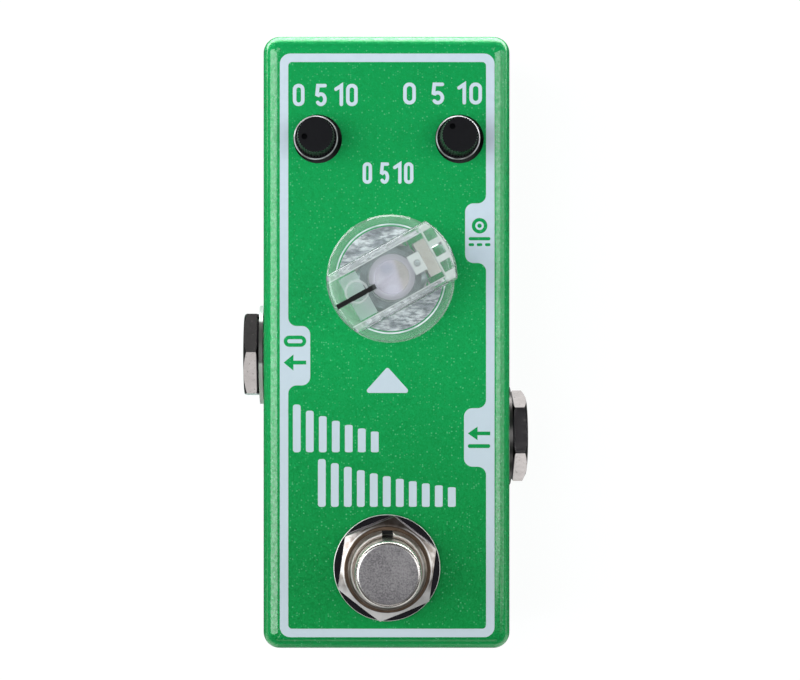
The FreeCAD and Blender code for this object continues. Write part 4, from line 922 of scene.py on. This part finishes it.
# The time pot's nut under the clear knob gets darker grey metal, as painted shade.
OWN_FINISH = {
    "footswitch_nut": SWITCH_NUT, "time_pot_shaft": SHAFT_WHITE, "time_pot_nut": GREY_METAL,
    "level_pot_body": BLACK_PLASTIC, "repeat_pot_body": BLACK_PLASTIC, "output_jack_nut": JACK_NICKEL,
    "input_jack_nut": JACK_NICKEL, "output_jack_washer": WASHER_NICKEL, "input_jack_washer": DARK_METAL,
}
for name, node in nodes.items():
    if name in HIDDEN:
        node.data.materials.clear()
        node.data.materials.append(OWN_FINISH.get(name) or SLOT_FINISH[SLOT_OF[name]])
    elif name not in SPECIAL:
        smooth_part(name, OWN_FINISH.get(name))
painted_case()
threaded_bushing()
clear_knob()
pointer_bar("time_knob_pointer")
small_knob("level_knob", *LEVEL_AXIS)
small_knob("repeat_knob", *REPEAT_AXIS)
footswitch_washer()
face_print()


# ---- floor, light and camera ----

def floor():
    """A pale floor that looks white from above and keeps the object's shadow. Painted light: it glows for diffuse
    rays and lights the object like a lamp, and in reflections it glows behind the object, to the front at the sides
    and in a patch for a nut's reflection, and is dark beside and in front of the object.
    """
    pale = Finish("pale_floor", Roughness=0.9, Specular_IOR_Level=0.1)
    pale.set(Base_Color=pale.blend(pale.noise(9.0, 3.0), shade(226, 228, 230), shade(232, 234, 236)))
    along, across = pale.axis("Y"), pale.axis("X")
    outside = across.step(-0.02, -0.03) + across.step(0.02, 0.03)
    beside = outside * along.step(0.11, 0.06) * along.step(-0.07, -0.05) * 0.95
    nut_reflection_patch = across.within(0.0215, 0.029, 0.001) * along.within(0.002, 0.019, 0.003)
    front = along.step(-0.05, -0.07)
    behind = along.step(0.07, 0.1) * 0.7
    look = pale.look
    # Painted light in the floor: a glow for diffuse rays, bright and dark zones seen only in reflections, and a
    # patch for a nut's reflection.
    for ray, share, strength in (("Is Camera Ray", 0.85, 1.09), ("Is Transmission Ray", 0.85, 1.09),
                                 ("Is Diffuse Ray", 0.9, 3.0),
                                 ("Is Glossy Ray", front * 0.6, 0.0), ("Is Glossy Ray", front * outside * 0.9, 1.1),
                                 ("Is Glossy Ray", beside, 0.0), ("Is Glossy Ray", behind, 8.0),
                                 ("Is Glossy Ray", nut_reflection_patch, 1.0)):
        glow = pale.add("ShaderNodeEmission", {}, (1, 1, 1, 1), strength)
        seen = pale.add("ShaderNodeLightPath", {}, output=ray)
        look = pale.mixed(seen * share, look, glow)
    pale.end_with(look)
    half = 3.0
    mesh = bpy.data.meshes.new("floor")
    mesh.from_pydata([(-half, -half, 0), (half, -half, 0), (half, half, 0), (-half, half, 0)], [], [(0, 1, 2, 3)])
    mesh.materials.append(pale.material)
    ground = bpy.data.objects.new("floor", mesh)
    bpy.context.scene.collection.objects.link(ground)


def soft_box(name, place, aim, width, height, power, tint=(1, 1, 1)):
    """A rectangular lamp that faces a point."""
    lamp = bpy.data.lights.new(name, "AREA")
    lamp.shape = "RECTANGLE"
    lamp.size = width
    lamp.size_y = height
    lamp.energy = power
    lamp.color = tint
    holder = bpy.data.objects.new(name, lamp)
    holder.location = place
    holder.rotation_euler = (Vector(aim) - Vector(place)).to_track_quat("-Z", "Y").to_euler()
    bpy.context.scene.collection.objects.link(holder)
    return lamp


def studio():
    """A grey room, lighter low down, with a large soft box on the left and weaker ones round it."""
    world = bpy.data.worlds.new("studio")
    world.use_nodes = True
    tree = world.node_tree
    where = tree.nodes.new("ShaderNodeTexCoord")
    split = tree.nodes.new("ShaderNodeSeparateXYZ")
    ramp = tree.nodes.new("ShaderNodeValToRGB")
    set_stops(ramp.color_ramp, [(0.0, (0.1, 0.102, 0.105, 1)), (0.5, (0.08, 0.082, 0.085, 1)),
                                (0.9, (0.03, 0.03, 0.035, 1))])
    tree.links.new(where.outputs["Generated"], split.inputs["Vector"])
    tree.links.new(split.outputs["Z"], ramp.inputs["Fac"])
    tree.links.new(ramp.outputs["Color"], tree.nodes["Background"].inputs["Color"])
    bpy.context.scene.world = world
    middle = (0, 0, 0.03)
    soft_box("left_box", (-0.32, 0.03, 0.5), middle, 0.38, 0.54, 2.9, (0.92, 0.97, 1.0))
    soft_box("right_box", (0.225, 0.02, 0.56), middle, 0.24, 0.28, 0.8, (0.94, 0.98, 1.0))
    soft_box("right_low_box", (0.49, 0.03, 0.37), middle, 0.3, 0.44, 0.6, (0.94, 0.98, 1.0))
    soft_box("low_box", (0.0, -0.5, 0.42), middle, 0.4, 0.16, 0.16)
    soft_box("back_strip", (0.0, 0.45, 0.07), middle, 0.5, 0.12, 0.6)
    pool = soft_box("back_pool", (0.0, 0.3, 0.2), (0.0, 0.3, 0.0), 0.5, 0.2, 2.4)
    pool.spread = math.radians(60)


def overhead_camera():
    """A camera straight above the face, shifted so that the object stands in the frame's middle."""
    pixels_per_mm, frame_width, above_face = 6.5, 800.0, 330.0
    x, y, middle_x = -7.0, 0.37, 2.03
    lens = bpy.data.cameras.new("camera")
    lens.sensor_width = 36.0
    lens.lens = pixels_per_mm * above_face * lens.sensor_width / frame_width
    lens.clip_start = 0.01
    lens.shift_x = (middle_x - x) * pixels_per_mm / frame_width
    camera = bpy.data.objects.new("camera", lens)
    camera.location = (x * MM, y * MM, (FACE_Z + above_face) * MM)
    bpy.context.scene.collection.objects.link(camera)
    bpy.context.scene.camera = camera


overhead_camera()
floor()
studio()
bpy.context.scene.view_settings.view_transform = "Standard"
